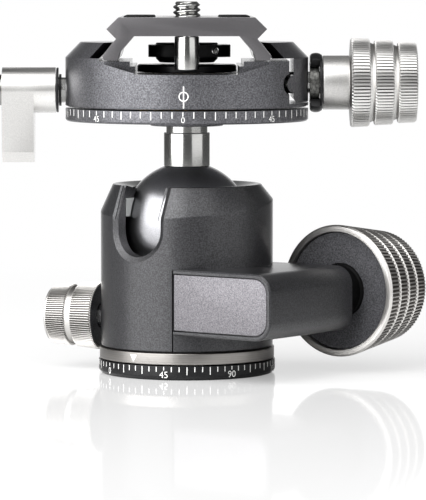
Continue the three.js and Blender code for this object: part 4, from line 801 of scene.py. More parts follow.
pan_end = PAN_KNOB_INNER + PAN_KNOB_LENGTH
ring_start = PAN_KNOB_INNER + (PAN_KNOB_LENGTH - PAN_RING_WIDTH) / 2
ring_end = ring_start + PAN_RING_WIDTH
pocket = PAN_KNOB_INNER + PAN_KNOB_LENGTH / 2 + FIT_GAP
knob = [(PAN_KNOB_RADIUS - PAN_RIM, PAN_KNOB_INNER, 0.15),
        (pan_crest(PAN_KNOB_INNER) - PAN_CHAMFER, PAN_KNOB_INNER)]
for start, end in ((PAN_KNOB_INNER, ring_start), (ring_end, pan_end - PAN_RING_DEPTH)):
    knob += [(pan_crest(start + PAN_CHAMFER), start + PAN_CHAMFER),
             (pan_crest(end - PAN_LAND), end - PAN_LAND), (pan_crest(end) - PAN_RING_DEPTH, end)]
    if start == PAN_KNOB_INNER:
        knob += [(pan_crest(ring_end) - PAN_RING_DEPTH, ring_end)]
knob += [(PAN_KNOB_END - PAN_RING_DEPTH, pan_end, 0.2), (PAN_DISH, pan_end),
         (PAN_DISH_FOOT, pan_end - PAN_DISH_DEPTH, 0.2), (0, pan_end - PAN_DISH_DEPTH), (0, pocket),
         (PAN_SCREW_BORE, pocket), (PAN_SCREW_BORE, PAN_KNOB_INNER + PAN_FACE),
         (PAN_KNOB_RADIUS - PAN_RIM, PAN_KNOB_INNER + PAN_FACE)]
# The same bare knurl, a little greyer, with painted shade between its ribs, on a bright steel screw.
pan_aluminium = lathe_metal("knurled_pan_knob", "#d0cecb", "#bcbab7", 0.32, pan_place, painted_root_shade="#5c5957",
                            edge="#606060")
pan_steel = lathe_metal("pan_screw_steel", "#c4c4c2", "#98989a", 0.2, pan_place)
seat("pan_lock_knob_knurled", turned(knob, PAN_RIBS * RIB_COLUMNS, True, knurl(pan_crest, PAN_RIB_DEPTH)),
     pan_place, pan_aluminium, "pan_knob", "pan_lock_knob")
seat("pan_knob_face_turned", turned(plain_ring(
    PAN_SCREW_BORE, PAN_INLAY_RADIUS, PAN_KNOB_INNER + FIT_GAP, PAN_KNOB_INNER + PAN_INLAY_END, 0.15),
    64, True), pan_place, knob_black, "pan_knob", "pan_knob_face")
assign(pan_steel, "pan_lock_screw")
assign(acetal, "pan_brake_shoe")

# Ball and stem
# A turned aluminium ball, hard anodised to a dark satin, and the polished steel stem screwed into it.

BALL_RADIUS = 15.0
STEM_RADIUS, STEM_NECK_RADIUS, STEM_STUD_RADIUS, STEM_BOLT_BORE = 5.35, 4.8, 4.0, 2.15
STEM_SHOULDER, STEM_NECK_TOP, STEM_TOP, STEM_BOLT_FLOOR = 55.9, 57.3, 61.5, 51.3

meridian = [math.pi * k / 64 - math.pi / 2 for k in range(1, 64)]
# Hard anodising keeps the metal's reflections under a grey film.
hard_anodised = blasted_anodised("hard_anodised_ball", "#8c8c8f", "#9a9a9d", 0.3, metallic=1.0, grain=0.25,
                                 depth=0.004)
seat("ball_turned", turned(
    [(0, BALL_HEIGHT - BALL_RADIUS)]
    + [(BALL_RADIUS * math.cos(a), BALL_HEIGHT + BALL_RADIUS * math.sin(a)) for a in meridian]
    + [(0, BALL_HEIGHT + BALL_RADIUS)], 128), HEAD_PLACE, hard_anodised, "ball", "ball")
seat_radius = BALL_RADIUS + FIT_GAP
foot_angle = math.acos(STEM_RADIUS / seat_radius)
foot = [(seat_radius * math.cos(a), BALL_HEIGHT + seat_radius * math.sin(a))
        for a in (math.pi / 2 + (foot_angle - math.pi / 2) * k / 12 for k in range(1, 12))]
# Polished steel is nearly a mirror.
polished_steel = lathe_metal("polished_steel", "#c2c2c0", "#adadab", 0.14)
seat("ball_stem_turned", turned([(0, BALL_HEIGHT + seat_radius)] + foot + [
    (STEM_RADIUS, BALL_HEIGHT + seat_radius * math.sin(foot_angle)), (STEM_RADIUS, STEM_SHOULDER, 0.5),
    (STEM_NECK_RADIUS, STEM_SHOULDER), (STEM_NECK_RADIUS, STEM_NECK_TOP), (STEM_STUD_RADIUS, STEM_NECK_TOP),
    (STEM_STUD_RADIUS, STEM_TOP), (STEM_BOLT_BORE, STEM_TOP), (STEM_BOLT_BORE, STEM_BOLT_FLOOR),
    (0, STEM_BOLT_FLOOR)], 96),
    HEAD_PLACE, polished_steel, "stem", "ball_stem")

# Graduated disc
# A turned aluminium disc bolted to the stem, blasted and anodised dark, with a white scale round
# its edge. Its brass spindle carries the clamp, under a black cap with two countersunk screws.

DISC_RADIUS, DISC_LOW, DISC_TOP, DISC_ROUND = 28.2, 58.65, 61.65, 0.12
DISC_FACE = DISC_RADIUS - MARK_LIFT
DISC_BOSS_RADIUS, DISC_BOSS_FLARE, DISC_BOSS_LOW, DISC_BORE, DISC_CHAMFER = 8.4, 0.6, 57.45, 4.15, 0.4
DISC_TICKS = {"number": 1.0, "long": 1.85, "short": 1.45}
DISC_NUMBER_SIZE, DISC_NUMBER_HEIGHT, DISC_ZERO = 1.9, 59.65, -1.8
CAP_RADIUS, CAP_LOW, CAP_TOP, CAP_CHAMFER = 11.5, 70.0, 71.8, 0.4
CAP_SCREW_RADIUS, CAP_SCREW_REACH, CAP_SCREW_DEPTH, CAP_HEX, CAP_HEX_DEPTH = 1.4, 6.2, 1.2, 0.8, 0.9

# Under a thin grey dye the blasted metal keeps more of its gloss: a lighter grey that sparkles.
grey_blasted = blasted_anodised("bead_blasted_grey_anodised", "#4d4d50", "#78787c", 0.42, metallic=0.9,
                                sheen=0.5)
seat("graduated_disc_turned", turned([
    (DISC_BORE, DISC_BOSS_LOW), (DISC_BOSS_RADIUS, DISC_BOSS_LOW, 0.15),
    (DISC_BOSS_RADIUS + DISC_BOSS_FLARE, DISC_LOW, 0.3), (DISC_FACE - DISC_CHAMFER, DISC_LOW, 0.15),
    (DISC_FACE, DISC_LOW + DISC_CHAMFER, 0.15), (DISC_FACE, DISC_TOP, DISC_ROUND), (DISC_BORE, DISC_TOP)],
    192, True), HEAD_PLACE, grey_blasted, "disc", "graduated_disc")
marks = seat("disc_scale_marks", scale_marks(
    DISC_FACE, DISC_TOP - DISC_ROUND, DISC_ZERO, DISC_TICKS, DISC_NUMBER_SIZE, DISC_NUMBER_HEIGHT),
    HEAD_PLACE, white_paint, "disc")
assign(turned_brass, "clamp_spindle")
assign(turned_steel, "pivot_bolt")
screw_holes = [moved(rod(CAP_SCREW_RADIUS + FIT_GAP, CAP_TOP - CAP_SCREW_DEPTH - FIT_GAP, CAP_TOP + OVERRUN),
                     Matrix.Translation((side * CAP_SCREW_REACH, 0, 0))) for side in (-1, 1)]
seat("centre_cap_turned", machined(turned([
    (0, CAP_LOW), (CAP_RADIUS, CAP_LOW, 0.1), (CAP_RADIUS, CAP_TOP - CAP_CHAMFER, 0.2),
    (CAP_RADIUS - CAP_CHAMFER, CAP_TOP, 0.2), (0, CAP_TOP)], 96), screw_holes),
    HEAD_PLACE, black_anodised, "disc", "centre_cap")
for side, name in ((-1, "cap_screw_left"), (1, "cap_screw_right")):
    head = turned(plain_ring(0, CAP_SCREW_RADIUS, CAP_TOP - CAP_SCREW_DEPTH, CAP_TOP - FIT_GAP, 0, 0.2), 32)
    socket = rod(CAP_HEX, CAP_TOP - CAP_HEX_DEPTH, CAP_TOP + OVERRUN, 6)
    seat(name + "_socketed", machined(head, [socket]),
         HEAD_PLACE @ Matrix.Translation((side * CAP_SCREW_REACH, 0, 0)), turned_steel, "disc", name)

# Clamp body
# A drum milled from aluminium, blasted and anodised dark. It carries the fixed jaw, the bed for the
# plate and the bores for both screws. Its index mark is engraved over the disc's scale.

CLAMP_LOW, CLAMP_CREASE, CLAMP_TOP, CLAMP_TOP_RADIUS = 62.05, 73.35, 76.95, 24.7
FOOT_STEP, FOOT_RISE = 0.5, 0.2
CHANNEL_HALF, CHANNEL_FLOOR, BED, LEDGE_HALF, LEDGE_STEP = 11.8, 69.85, 72.75, 12.9, 1.1
PLATE_TOE, PLATE_NECK = (19.0, 74.05), (15.9, 77.95)
JAW_GAP, JAW_UNDERCUT = 0.3, 0.65
BODY_SIDE, LOW_LEDGE = 23.4, 62.95
SCREW_AXIS, LEVER_AXIS = 67.45, 65.75
RAMP_OUTER, RAMP_DROP, RAMP_LENGTH = 20.9, 2.65, 7.2
SPINDLE_BORE, WASHER_RADIUS, WASHER_TOP = 9.8, 16.4, 62.9
PIN_SPREAD, PIN_BORE, PIN_FLOOR, SPRING_BORE, SPRING_FLOOR = 8.5, 1.8, 11.6, 2.9, 17.4
CLAMP_SCREW_BORE, LEVER_BORE = 2.8, 3.2
NOSE_RADIUS, NOSE_DEPTH, SOCKET_DEPTH, SOCKET_PLAY = 2.0, 1.5, 1.4, 0.3
LEAD_FLARE, LEAD_LENGTH, PLATE_HALF_LENGTH = 2.6, 8.0, 28.0
EDGE_ROUND = 0.18
CLAMP_MARK_ARC, CLAMP_MARK_LINE, CLAMP_MARK_HALF = -0.74, (62.35, 67.3), 0.13
CLAMP_RING_MIDDLE, CLAMP_RING_RADIUS, CLAMP_RING_HALF = 65.0, 1.02, 0.11


def flank(height):
    """How far the dovetail's flank stands out at a height."""
    slope = (PLATE_TOE[0] - PLATE_NECK[0]) / (PLATE_NECK[1] - PLATE_TOE[1])
    return PLATE_TOE[0] + JAW_GAP - (height - PLATE_TOE[1]) * slope


def drum():
    """The clamp's drum before it is milled: the body and the moving jaw are both cut from it."""
    foot, step = DISC_RADIUS - FOOT_STEP, CLAMP_LOW + FOOT_RISE
    return turned([(0, CLAMP_LOW), (foot, CLAMP_LOW), (foot, step), (DISC_RADIUS, step, 0.1),
                   (DISC_RADIUS, CLAMP_CREASE, 0.2), (CLAMP_TOP_RADIUS, CLAMP_TOP, 0.2), (0, CLAMP_TOP)], 192)


def level_rod(radius, start, end, across, height):
    """A rod that lies along X."""
    return moved(rod(radius, start, end, 40),
                 Matrix.Translation((0, across, height)) @ Matrix.Rotation(math.pi / 2, 4, "Y"))


def lead_in(side, end):
    """The wedge cut from a jaw's flank at one end, where the plate finds its way in."""
    start = math.sqrt(CLAMP_TOP_RADIUS ** 2 - flank(CLAMP_TOP) ** 2) - LEAD_LENGTH
    reach = PLATE_HALF_LENGTH + OVERRUN
    flare = LEAD_FLARE * (reach - start) / LEAD_LENGTH
    rings = []
    for height in (BED + JAW_UNDERCUT, CLAMP_TOP + OVERRUN):
        outline = ((0, start), (flank(height), start), (flank(height) + flare, reach), (0, reach))
        rings.append([(side * x, end * y, height) for x, y in outline])
    return lofted(*rings)


def nose(reach, depth, radius):
    """The outline of the rounded rib at the jaw's foot, and of the groove that takes it."""
    far = DISC_RADIUS + OVERRUN
    sweep = [math.pi * k / 10 - math.pi / 2 for k in range(11)]
    bulge = [(reach - depth * math.cos(a), SCREW_AXIS + radius * math.sin(a)) for a in sweep]
    return [(far, SCREW_AXIS - radius)] + bulge + [(far, SCREW_AXIS + radius)]


def clamp_shape():
    """The drum cut down to the body: the plate's bed and ramps, the jaw's place, the bores and lead-ins."""
    far = DISC_RADIUS + OVERRUN
    toe = PLATE_TOE[0] + JAW_GAP
    bed = [(-flank(CLAMP_TOP + OVERRUN), CLAMP_TOP + OVERRUN), (-toe, PLATE_TOE[1]),
           (-toe - JAW_UNDERCUT, BED + JAW_UNDERCUT), (-toe - JAW_UNDERCUT, BED), (-LEDGE_HALF, BED),
           (-LEDGE_HALF, BED - LEDGE_STEP), (-CHANNEL_HALF, BED - LEDGE_STEP),
           (-CHANNEL_HALF, CHANNEL_FLOOR), (CHANNEL_HALF, CHANNEL_FLOOR), (CHANNEL_HALF, BED - LEDGE_STEP),
           (LEDGE_HALF, BED - LEDGE_STEP), (LEDGE_HALF, BED), (far, BED), (far, CLAMP_TOP + OVERRUN)]
    dip = [(-RAMP_OUTER - OVERRUN, BED + OVERRUN), (-RAMP_OUTER, BED), (-CHANNEL_HALF, BED - RAMP_DROP),
           (CHANNEL_HALF, BED - RAMP_DROP), (RAMP_OUTER, BED), (RAMP_OUTER + OVERRUN, BED + OVERRUN)]
    side_cut = [(BODY_SIDE, LOW_LEDGE), (far, LOW_LEDGE), (far, CLAMP_TOP), (BODY_SIDE, CLAMP_TOP)]
    socket = nose(BODY_SIDE, SOCKET_DEPTH, NOSE_RADIUS + SOCKET_PLAY)
    cuts = [along_y(bed, -far, far), along_y(dip, -far, RAMP_LENGTH - DISC_RADIUS),
            along_y(dip, DISC_RADIUS - RAMP_LENGTH, far), along_y(side_cut, -far, far),
            along_y(socket, -far, far),
            rod(SPINDLE_BORE, CLAMP_LOW - OVERRUN, CHANNEL_FLOOR + OVERRUN, 96),
            rod(WASHER_RADIUS, CLAMP_LOW - OVERRUN, WASHER_TOP, 96),
            level_rod(LEVER_BORE, -far, 0, 0, LEVER_AXIS),
            level_rod(CLAMP_SCREW_BORE, 0, far, 0, SCREW_AXIS),
            lead_in(-1, -1), lead_in(-1, 1)]
    for across in (-PIN_SPREAD, PIN_SPREAD):
        cuts += [level_rod(PIN_BORE, PIN_FLOOR, far, across, SCREW_AXIS),
                 level_rod(SPRING_BORE, SPRING_FLOOR, far, across, SCREW_AXIS)]
    return machined(drum(), cuts, edge=EDGE_ROUND)


seat("clamp_body_machined", clamp_shape(), HEAD_PLACE, grey_blasted, "clamp", "clamp_body")
assign(turned_brass, "clamp_slip_washer")
index = bmesh.new()
round_stroke(index, DISC_RADIUS, [(CLAMP_MARK_ARC, height, CLAMP_MARK_HALF) for height in CLAMP_MARK_LINE])
round_stroke(index, DISC_RADIUS, [
    (CLAMP_MARK_ARC + CLAMP_RING_RADIUS * math.sin(a), CLAMP_RING_MIDDLE + CLAMP_RING_RADIUS * math.cos(a),
     CLAMP_RING_HALF) for a in (2 * math.pi * k / 32 for k in range(32))], True)
seat("clamp_index_mark", index, HEAD_PLACE, white_paint, "clamp")

# Moving jaw
# Milled from the same bar as the body, with a rounded nose that rocks in the body's groove. Two
# steel pins guide it, and two coil springs of steel wire push it open.

JAW_LEG, JAW_FOOT, JAW_LIP, JAW_FOOT_ROUND = 24.4, 63.2, 73.35, 0.8
JAW_BLIND = 25.6
GUIDE_PIN_RADIUS, GUIDE_PIN_START = 1.5, 11.9
SPRING_RADIUS, SPRING_WIRE, SPRING_TURNS, SPRING_REST, SPRING_CLIMB = 2.45, 0.28, 5, 0.14, 0.72
SPRING_START, SPRING_END = 17.55, 22.75


def jaw_shape():
    """The rest of the drum as the moving jaw, with its nose, lead-ins and the guide pins' blind bores."""
    far = DISC_RADIUS + OVERRUN
    inner = flank(JAW_LIP + JAW_UNDERCUT)
    outline = [(flank(CLAMP_TOP), CLAMP_TOP), (inner, JAW_LIP + JAW_UNDERCUT), (inner, JAW_LIP),
               (JAW_LEG, JAW_LIP), (JAW_LEG, JAW_FOOT + JAW_FOOT_ROUND), (JAW_LEG + JAW_FOOT_ROUND, JAW_FOOT),
               (far, JAW_FOOT), (far, CLAMP_TOP)]
    bored = [level_rod(CLAMP_SCREW_BORE, 0, far, 0, SCREW_AXIS), lead_in(1, -1), lead_in(1, 1)]
    bored += [level_rod(GUIDE_PIN_RADIUS + FIT_GAP, 0, JAW_BLIND + FIT_GAP, across, SCREW_AXIS)
              for across in (-PIN_SPREAD, PIN_SPREAD)]
    rib = along_y(nose(JAW_LEG, NOSE_DEPTH, NOSE_RADIUS), -DISC_RADIUS, DISC_RADIUS)
    return machined(along_y(outline, -DISC_RADIUS, DISC_RADIUS), bored, [rib], EDGE_ROUND, common=[drum()])


def coil(radius, wire, turns, length, steps=24, sides=8):
    """A spring wound along Z from the origin, with a closed turn at each end."""
    work = bmesh.new()
    count = int(turns * steps)
    rings = []
    for i in range(count + 1):
        share = i / count
        rise = wire + (length - 2 * wire) * min(max((share - SPRING_REST) / SPRING_CLIMB, 0), 1)
        angle = 2 * math.pi * turns * share
        out = Vector((math.cos(angle), math.sin(angle), 0))
        middle = out * (radius - wire) + Vector((0, 0, rise))
        rings.append([work.verts.new(middle + wire * (out * math.cos(a) + UP * math.sin(a)))
                      for a in (2 * math.pi * k / sides for k in range(sides))])
    for low, high in zip(rings, rings[1:]):
        for k in range(sides):
            work.faces.new((low[k], low[k - 1], high[k - 1], high[k]))
    work.faces.new(rings[0])
    work.faces.new(rings[-1][::-1])
    bmesh.ops.recalc_face_normals(work, faces=work.faces)
    return work


seat("moving_jaw_machined", jaw_shape(), HEAD_PLACE, grey_blasted, "jaw", "moving_jaw")
for name, across in (("front", -PIN_SPREAD), ("rear", PIN_SPREAD)):
    place = aligned((0, across, SCREW_AXIS), (1, 0, 0))
    seat("jaw_guide_pin_" + name + "_ground",
         turned(plain_ring(0, GUIDE_PIN_RADIUS, GUIDE_PIN_START, JAW_BLIND - FIT_GAP, 0.3, 0.2), 32),
         place, turned_steel, "jaw", "jaw_guide_pin_" + name)
    seat("jaw_spring_" + name + "_coil",
         coil(SPRING_RADIUS + SPRING_WIRE, SPRING_WIRE, SPRING_TURNS, SPRING_END - SPRING_START),
         aligned((SPRING_START, across, SCREW_AXIS), (1, 0, 0)), turned_steel, "clamp", "jaw_spring_" + name)

# Clamp knob
# Three knurled aluminium bands turned on one knob, each a little smaller than the one before. A satin
# collar, a black thrust plate with two lugs and a mottled sleeve sit between it and the jaw.

SLEEVE_RADIUS, SLEEVE_START, SLEEVE_END = 4.1, 0.3, 2.5
YOKE_RADIUS, YOKE_LUG_INNER, YOKE_START, YOKE_END, YOKE_LUG_START = 6.5, 4.7, 2.65, 3.15, 0.35
YOKE_LUG_HALF, YOKE_LUG_RISE, YOKE_LUG_SINK, YOKE_EDGE = math.radians(38), 0.7, 0.4, 0.12
COLLAR_RADIUS, COLLAR_START, COLLAR_END = 6.3, 3.3, 9.6
BAND_START, BAND_RADII, BAND_LENGTH, BAND_GROOVE, BAND_GROOVE_DEPTH = 9.8, (10.35, 9.9, 9.4), 4.4, 1.05, 1.0
BAND_EDGE, BAND_DROP, BAND_CHAMFER, BAND_CHAMFER_RISE = 0.35, 0.15, 0.3, 0.05
BAND_RIBS, BAND_RIB_DEPTH, BAND_LANDS = 80, 0.35, 3
END_CAP_RADIUS, END_CAP_DEPTH, END_CAP_GROOVE = 6.8, 0.9, (4.6, 4.45, 4.0, 3.85)
CLAMP_SCREW_CLEAR = 2.65

clamp_place = aligned((DISC_RADIUS, 0, SCREW_AXIS), (1, 0, 0))
# The knob is satin silver with painted shade, nearly black, between its ribs, the collar smooth silver, and
# the sleeve a coarse and patchy grey.
satin_knob = lathe_metal("satin_clamp_knob", "#dddcda", "#cbcac8", 0.3, clamp_place, painted_root_shade="#2b2a2a",
                         edge="#c4c4c4")
satin_collar = blasted_anodised("satin_collar_aluminium", "#b5b4b2", "#cdccca", 0.38, metallic=0.9,
                                grain=0.25, depth=0.008)
mottled = blasted_anodised("mottled_sleeve_aluminium", "#4a4a48", "#82827f", 0.4, metallic=0.8, grain=0.6)
seat("knob_sleeve_turned", turned(plain_ring(
    CLAMP_SCREW_CLEAR, SLEEVE_RADIUS, SLEEVE_START, SLEEVE_END, 0.1, 0.1), 64, True),
    clamp_place, mottled, "clamp_knob", "knob_sleeve")


def lug(middle):
    """A lug of the yoke: a sector whose outer face is crowned between its ends."""
    angles = [middle + YOKE_LUG_HALF * (k / 8 - 1) for k in range(17)]
    rings = []
    for k in range(13):
        share = k / 6 - 1
        height = YOKE_LUG_START + (YOKE_END - YOKE_LUG_START) * (share + 1) / 2
        reach = YOKE_RADIUS + YOKE_LUG_RISE * (math.sqrt(max(1 - share * share, 0)) - YOKE_LUG_SINK)
        corners = [(reach, a) for a in angles] + [(YOKE_LUG_INNER, a) for a in angles[::-1]]
        rings.append([(radius * math.cos(a), radius * math.sin(a), height) for radius, a in corners])
    return lofted(*rings)


yoke_plate = turned(plain_ring(CLAMP_SCREW_CLEAR, YOKE_RADIUS, YOKE_START, YOKE_END), 96, True)
seat("knob_yoke_pressed", machined(yoke_plate, joins=[lug(0), lug(math.pi)], edge=YOKE_EDGE),
     clamp_place, black_anodised, "clamp_knob", "knob_yoke")
seat("knob_collar_turned", turned(plain_ring(
    CLAMP_SCREW_CLEAR, COLLAR_RADIUS, COLLAR_START, COLLAR_END, 0.3, 0.35), 96, True),
    clamp_place, satin_collar, "clamp_knob", "knob_collar")


def band_crest(height):
    """The radius over the ribs of the band that lies at a height."""
    k = min(int((height - BAND_START) / (BAND_LENGTH + BAND_GROOVE)), len(BAND_RADII) - 1)
    start = BAND_START + k * (BAND_LENGTH + BAND_GROOVE) + BAND_EDGE
    return BAND_RADII[k] - BAND_DROP * (height - start) / (BAND_LENGTH - 2 * BAND_EDGE)


knob = [(CLAMP_SCREW_CLEAR, BAND_START)]
for k, radius in enumerate(BAND_RADII):
    start = BAND_START + k * (BAND_LENGTH + BAND_GROOVE)
    root = radius - BAND_GROOVE_DEPTH
    end = start + BAND_LENGTH
    knob += [(root, start), (radius - BAND_CHAMFER, start + BAND_CHAMFER_RISE), (radius, start + BAND_EDGE),
             (radius - BAND_DROP, end - BAND_EDGE),
             (radius - BAND_DROP - BAND_CHAMFER, end - BAND_CHAMFER_RISE), (root, end)]
knob_end, bore_end = end, BAND_START + BAND_LENGTH + FIT_GAP
knob += [(END_CAP_RADIUS, knob_end, 0.15), (END_CAP_RADIUS, knob_end - END_CAP_DEPTH),
         (0, knob_end - END_CAP_DEPTH), (0, bore_end), (CLAMP_SCREW_CLEAR, bore_end)]
seat("clamp_knob_knurled",
     turned(knob, BAND_RIBS * RIB_COLUMNS, True, knurl(band_crest, BAND_RIB_DEPTH, BAND_LANDS)),
     clamp_place, satin_knob, "clamp_knob", "clamp_knob")
cap_edge, cap_low, cap_top = END_CAP_RADIUS - FIT_GAP, knob_end - END_CAP_DEPTH + FIT_GAP, knob_end - FIT_GAP
seat("clamp_knob_cap_turned", turned(
    [(0, cap_low), (cap_edge, cap_low), (cap_edge, cap_top, 0.25)]
    + cap_groove(END_CAP_GROOVE, cap_top, 0.08) + [(0, cap_top)], 96),
    clamp_place, satin_knob, "clamp_knob", "clamp_knob_cap")
clamp_steel = lathe_metal("clamp_screw_steel", *STEEL, clamp_place)
assign(clamp_steel, "clamp_screw")

# Pan lever
# A turned and milled aluminium lever, satin finished and left bare, on a steel shaft with two black
# washers. It presses an acetal shoe against the clamp's spindle.

LEVER_HUB_RADIUS, LEVER_START, LEVER_END = 5.3, 30.4, 42.8
LEVER_ARM_WIDTH, LEVER_DROP, LEVER_TIP_HALF, LEVER_TIP_CHAMFER = 7.4, 16.7, 4.4, 2.4
LEVER_SHAFT_CLEAR, LEVER_EDGE, LEVER_HUB_SINK = 3.05, 0.45, 0.02
LEVER_WASHERS = {"lever_washer": (5.2, 29.75, 30.25), "lever_spring_washer": (3.7, 29.1, 29.6)}
LEVER_CAP_RADIUS, LEVER_CAP_LENGTH = 3.6, 0.75

lever_place = aligned((0, 0, LEVER_AXIS), (-1, 0, 0))
# Without a dye the satin metal is a pale, smooth silver with soft reflections.
satin_lever = blasted_anodised("satin_bare_aluminium", "#d1d0ce", "#dfdedc", 0.3, metallic=0.95, grain=0.25,
                               depth=0.006)
lever_steel = lathe_metal("lever_shaft_steel", *STEEL, lever_place)


def along_z(outline, low, high):
    """A bar along Z whose outline is given in X and Y."""
    return lofted(*[[(x, y, z) for x, y in outline] for z in (low, high)])


def lever_shape():
    """A round hub and a flat arm that hangs from it, with a chamfered tip."""
    half, tip = LEVER_TIP_HALF, LEVER_TIP_CHAMFER
    sweep = [math.pi * k / 24 - math.pi / 2 for k in range(25)]
    outline = [(LEVER_HUB_RADIUS * math.cos(a), LEVER_HUB_RADIUS * math.sin(a)) for a in sweep]
    outline += [(tip - LEVER_DROP, half), (-LEVER_DROP, half - tip), (-LEVER_DROP, tip - half),
                (tip - LEVER_DROP, -half)]
    arm = along_z(outline, LEVER_END - LEVER_ARM_WIDTH, LEVER_END)
    hub = rod(LEVER_HUB_RADIUS, LEVER_START, LEVER_END - LEVER_HUB_SINK, 96)
    bore = rod(LEVER_SHAFT_CLEAR, LEVER_START - OVERRUN, (LEVER_START + LEVER_END) / 2 + FIT_GAP)
    return machined(arm, [bore], [hub], LEVER_EDGE, segments=3)


seat("lever_milled", lever_shape(), lever_place, satin_lever, "lever", "lever")
for name, (radius, start, end) in LEVER_WASHERS.items():
    seat(name + "_turned", turned(plain_ring(LEVER_SHAFT_CLEAR, radius, start, end, 0.12, 0.12), 64, True),
         lever_place, black_anodised, "lever", name)
cap_start = LEVER_END + FIT_GAP
seat("lever_cap_turned", turned(plain_ring(
    0, LEVER_CAP_RADIUS, cap_start, cap_start + LEVER_CAP_LENGTH, 0, 0.25), 64),
    lever_place, lever_steel, "lever", "lever_cap")
assign(lever_steel, "lever_shaft")
assign(acetal, "lever_brake_shoe")

# Camera plate
# An extruded aluminium dovetail, milled and anodised smooth dark grey. Rubber pads are let into its
# top, and two polished steel pins under it stop it from sliding out.

PLATE_FOOT, PLATE_SLAB, PLATE_TOP = 73.15, 78.55, 82.75
PLATE_SIDE_REACH, PLATE_SIDE_HEIGHT, PLATE_TOP_REACH = 18.05, 80.15, 15.4
PLATE_FOOT_REACH, PLATE_INNER_FOOT, PLATE_ARCH = 18.6, 15.6, 11.9
PLATE_INNER_LEG, PLATE_INNER_LEG_HEIGHT = 15.0, 74.95
SCREW_HOLE, PLATE_EDGE = 3.6, 0.22
PAD_MIDDLE, PAD_HALF_WIDTH, PAD_HALF_LENGTH, PAD_FLOOR, PAD_TOP = 10.9, 3.5, 19.0, 82.05, 83.10
PAD_ROUND = ((0.3, 0), (0.12, 0.06), (0.04, 0.16), (0, 0.35))
PIN_RADIUS, PIN_REACH, PIN_LOW, PIN_STUD, PIN_STUD_TOP = 2.75, 24.0, 70.85, 1.3, 81.35


def pad_outline(side, inset):
    """The outline of a pad, or of its bed where it is grown by a negative inset."""
    middle, half, ends = side * PAD_MIDDLE, PAD_HALF_WIDTH - inset, PAD_HALF_LENGTH - inset
    return rounded(middle - half, middle + half, -ends, ends, half, 12)


def plate_shape():
    """The dovetail with its arch, drilled for the camera screw and the stop pins, with the pads' beds."""
    half = [(PLATE_ARCH, PLATE_SLAB), (PLATE_INNER_LEG, PLATE_INNER_LEG_HEIGHT),
            (PLATE_INNER_FOOT, PLATE_FOOT), (PLATE_FOOT_REACH, PLATE_FOOT), PLATE_TOE, PLATE_NECK,
            (PLATE_SIDE_REACH, PLATE_SIDE_HEIGHT), (PLATE_TOP_REACH, PLATE_TOP)]
    whole = half + [(-x, z) for x, z in half[::-1]]
    cuts = [rod(SCREW_HOLE, PLATE_SLAB - OVERRUN, PLATE_TOP + OVERRUN)]
    for side in (-1, 1):
        cuts.append(along_z(pad_outline(side, -FIT_GAP), PAD_FLOOR, PLATE_TOP + OVERRUN))
        cuts.append(moved(rod(PIN_STUD + FIT_GAP, PLATE_SLAB - OVERRUN, PIN_STUD_TOP + FIT_GAP, 32),
                          Matrix.Translation((0, side * PIN_REACH, 0))))
    return machined(along_y(whole, -PLATE_HALF_LENGTH, PLATE_HALF_LENGTH), cuts, edge=PLATE_EDGE, segments=3)


# Anodised without blasting, the plate is an even dark grey with a slight gloss. Black moulded rubber is
# matt, with a fine sandy grain that grips the camera's foot.
smooth_anodised = blasted_anodised("smooth_dark_anodised", "#555456", "#615f61", 0.36, metallic=0.6,
                                   grain=0.2, depth=0.004)
rubber = moulded("moulded_black_rubber", "#171717", "#111111", "#232323", 0.8, grain=0.35, strength=0.6,
                 depth=0.03, specular=0.1)
seat("camera_plate_milled", plate_shape(), HEAD_PLACE, smooth_anodised, "plate", "camera_plate")
for side, name in ((-1, "plate_pad_left"), (1, "plate_pad_right")):
    steps = [(PAD_FLOOR + FIT_GAP, 0)] + [(PAD_TOP - drop, inset) for drop, inset in PAD_ROUND]
    seat(name + "_moulded", lofted(*[[(x, y, z) for x, y in pad_outline(side, inset)] for z, inset in steps]),
         HEAD_PLACE, rubber, "plate", name)
for end, name in ((-1, "front_stop_pin"), (1, "rear_stop_pin")):
    seat(name + "_turned", turned([
        (0, PIN_LOW), (PIN_RADIUS, PIN_LOW, 0.3), (PIN_RADIUS, PLATE_SLAB - FIT_GAP, 0.1),
        (PIN_STUD, PLATE_SLAB - FIT_GAP), (PIN_STUD, PIN_STUD_TOP), (0, PIN_STUD_TOP)], 64),
        HEAD_PLACE @ Matrix.Translation((0, end * PIN_REACH, 0)), polished_steel, "plate", name)

# Camera screw
# A quarter-inch steel screw with its thread rolled above a plain neck. Its black head sits under the
# plate's slab, and a finger ring folds flat round the head on a steel pin.

THREAD_RADIUS, THREAD_ROOT, THREAD_PITCH, THREAD_START, THREAD_TOP = 3.175, 2.5, 1.27, 78.63, 86.25
THREAD_FLANK, THREAD_RUN_IN, THREAD_TIP, THREAD_SIDES, THREAD_ROWS = 1.25, 1.2, 0.1, 64, 10
SCREW_NECK, SCREW_FOOT = 2.3, 74.6
HEAD_RADIUS, HEAD_LOW, HEAD_TOP, HEAD_CHAMFER, HEAD_BORE = 7.2, 72.15, 76.75, 0.9, 2.45
RING_LEFT, RING_RIGHT, RING_HALF, RING_CORNER, RING_LOW, RING_HIGH = -8.9, 10.1, 9.2, 5.0, 73.5, 76.3
RING_GAP, RING_EDGE, RING_PIN_RADIUS, RING_PIN_REACH = 0.3, 0.5, 0.65, 6.6


def screw_thread(i, radius, height):
    """The radius of a rolled thread: ridges that climb by one pitch a turn and run out at both ends."""
    if radius < THREAD_ROOT or height < THREAD_START:
        return radius
    phase = ((height - THREAD_START) / THREAD_PITCH - i / THREAD_SIDES) % 1
    ridge = THREAD_ROOT + (THREAD_RADIUS - THREAD_ROOT) * min(1, THREAD_FLANK * (1 - abs(2 * phase - 1)))
    return min(ridge, THREAD_ROOT + (height - THREAD_START) * THREAD_RUN_IN,
               THREAD_ROOT - THREAD_TIP + THREAD_TOP - height)


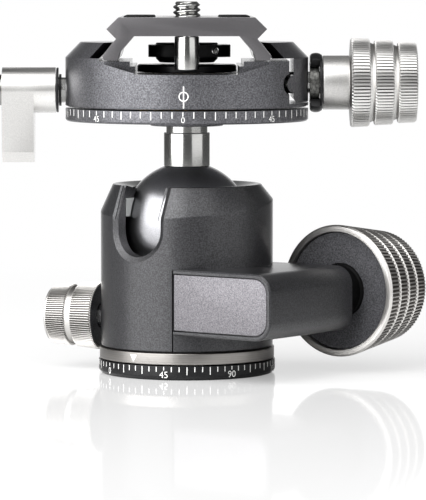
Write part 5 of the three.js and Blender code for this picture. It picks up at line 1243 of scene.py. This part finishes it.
rows = int((THREAD_TOP - THREAD_START) / THREAD_PITCH * THREAD_ROWS)
shank = [(THREAD_ROOT, THREAD_START + (THREAD_TOP - THREAD_START) * k / rows) for k in range(rows + 1)]
seat("camera_screw_threaded", turned(
    [(0, SCREW_FOOT), (SCREW_NECK, SCREW_FOOT), (SCREW_NECK, THREAD_START)] + shank + [(0, THREAD_TOP)],
    THREAD_SIDES, cut=screw_thread), HEAD_PLACE, polished_steel, "camera_screw", "camera_screw", crease=50)
ring_pin_axis = (Matrix.Translation((RING_PIN_REACH, 0, (RING_LOW + RING_HIGH) / 2))
                 @ Matrix.Rotation(-math.pi / 2, 4, "X"))
pin_bore = [moved(rod(RING_PIN_RADIUS + FIT_GAP, -RING_HALF - OVERRUN, RING_HALF + OVERRUN, 24),
                  ring_pin_axis) for _ in range(2)]
head_middle = (HEAD_LOW + HEAD_TOP) / 2
seat("camera_screw_head_turned", machined(turned([
    (0, HEAD_LOW), (HEAD_RADIUS - HEAD_CHAMFER, HEAD_LOW, 0.2), (HEAD_RADIUS, HEAD_LOW + HEAD_CHAMFER, 0.2),
    (HEAD_RADIUS, HEAD_TOP, 0.3), (HEAD_BORE, HEAD_TOP), (HEAD_BORE, head_middle), (0, head_middle)], 96),
    [pin_bore[0]]), HEAD_PLACE, black_anodised, "camera_screw", "camera_screw_head")
ring_outline = rounded(RING_LEFT, RING_RIGHT, -RING_HALF, RING_HALF, RING_CORNER, 12)
ring_hole = rod(HEAD_RADIUS + RING_GAP, RING_LOW - OVERRUN, RING_HIGH + OVERRUN, 96)
seat("finger_ring_bent", machined(along_z(ring_outline, RING_LOW, RING_HIGH), [ring_hole, pin_bore[1]],
                                  edge=RING_EDGE, angle=40, segments=3),
     HEAD_PLACE, black_anodised, "camera_screw", "finger_ring")
seat("ring_pin_ground", turned(plain_ring(
    0, RING_PIN_RADIUS, RING_PIN_RADIUS - RING_HALF, RING_HALF - RING_PIN_RADIUS, 0.2, 0.2), 24),
    HEAD_PLACE @ ring_pin_axis, turned_steel, "camera_screw", "ring_pin")
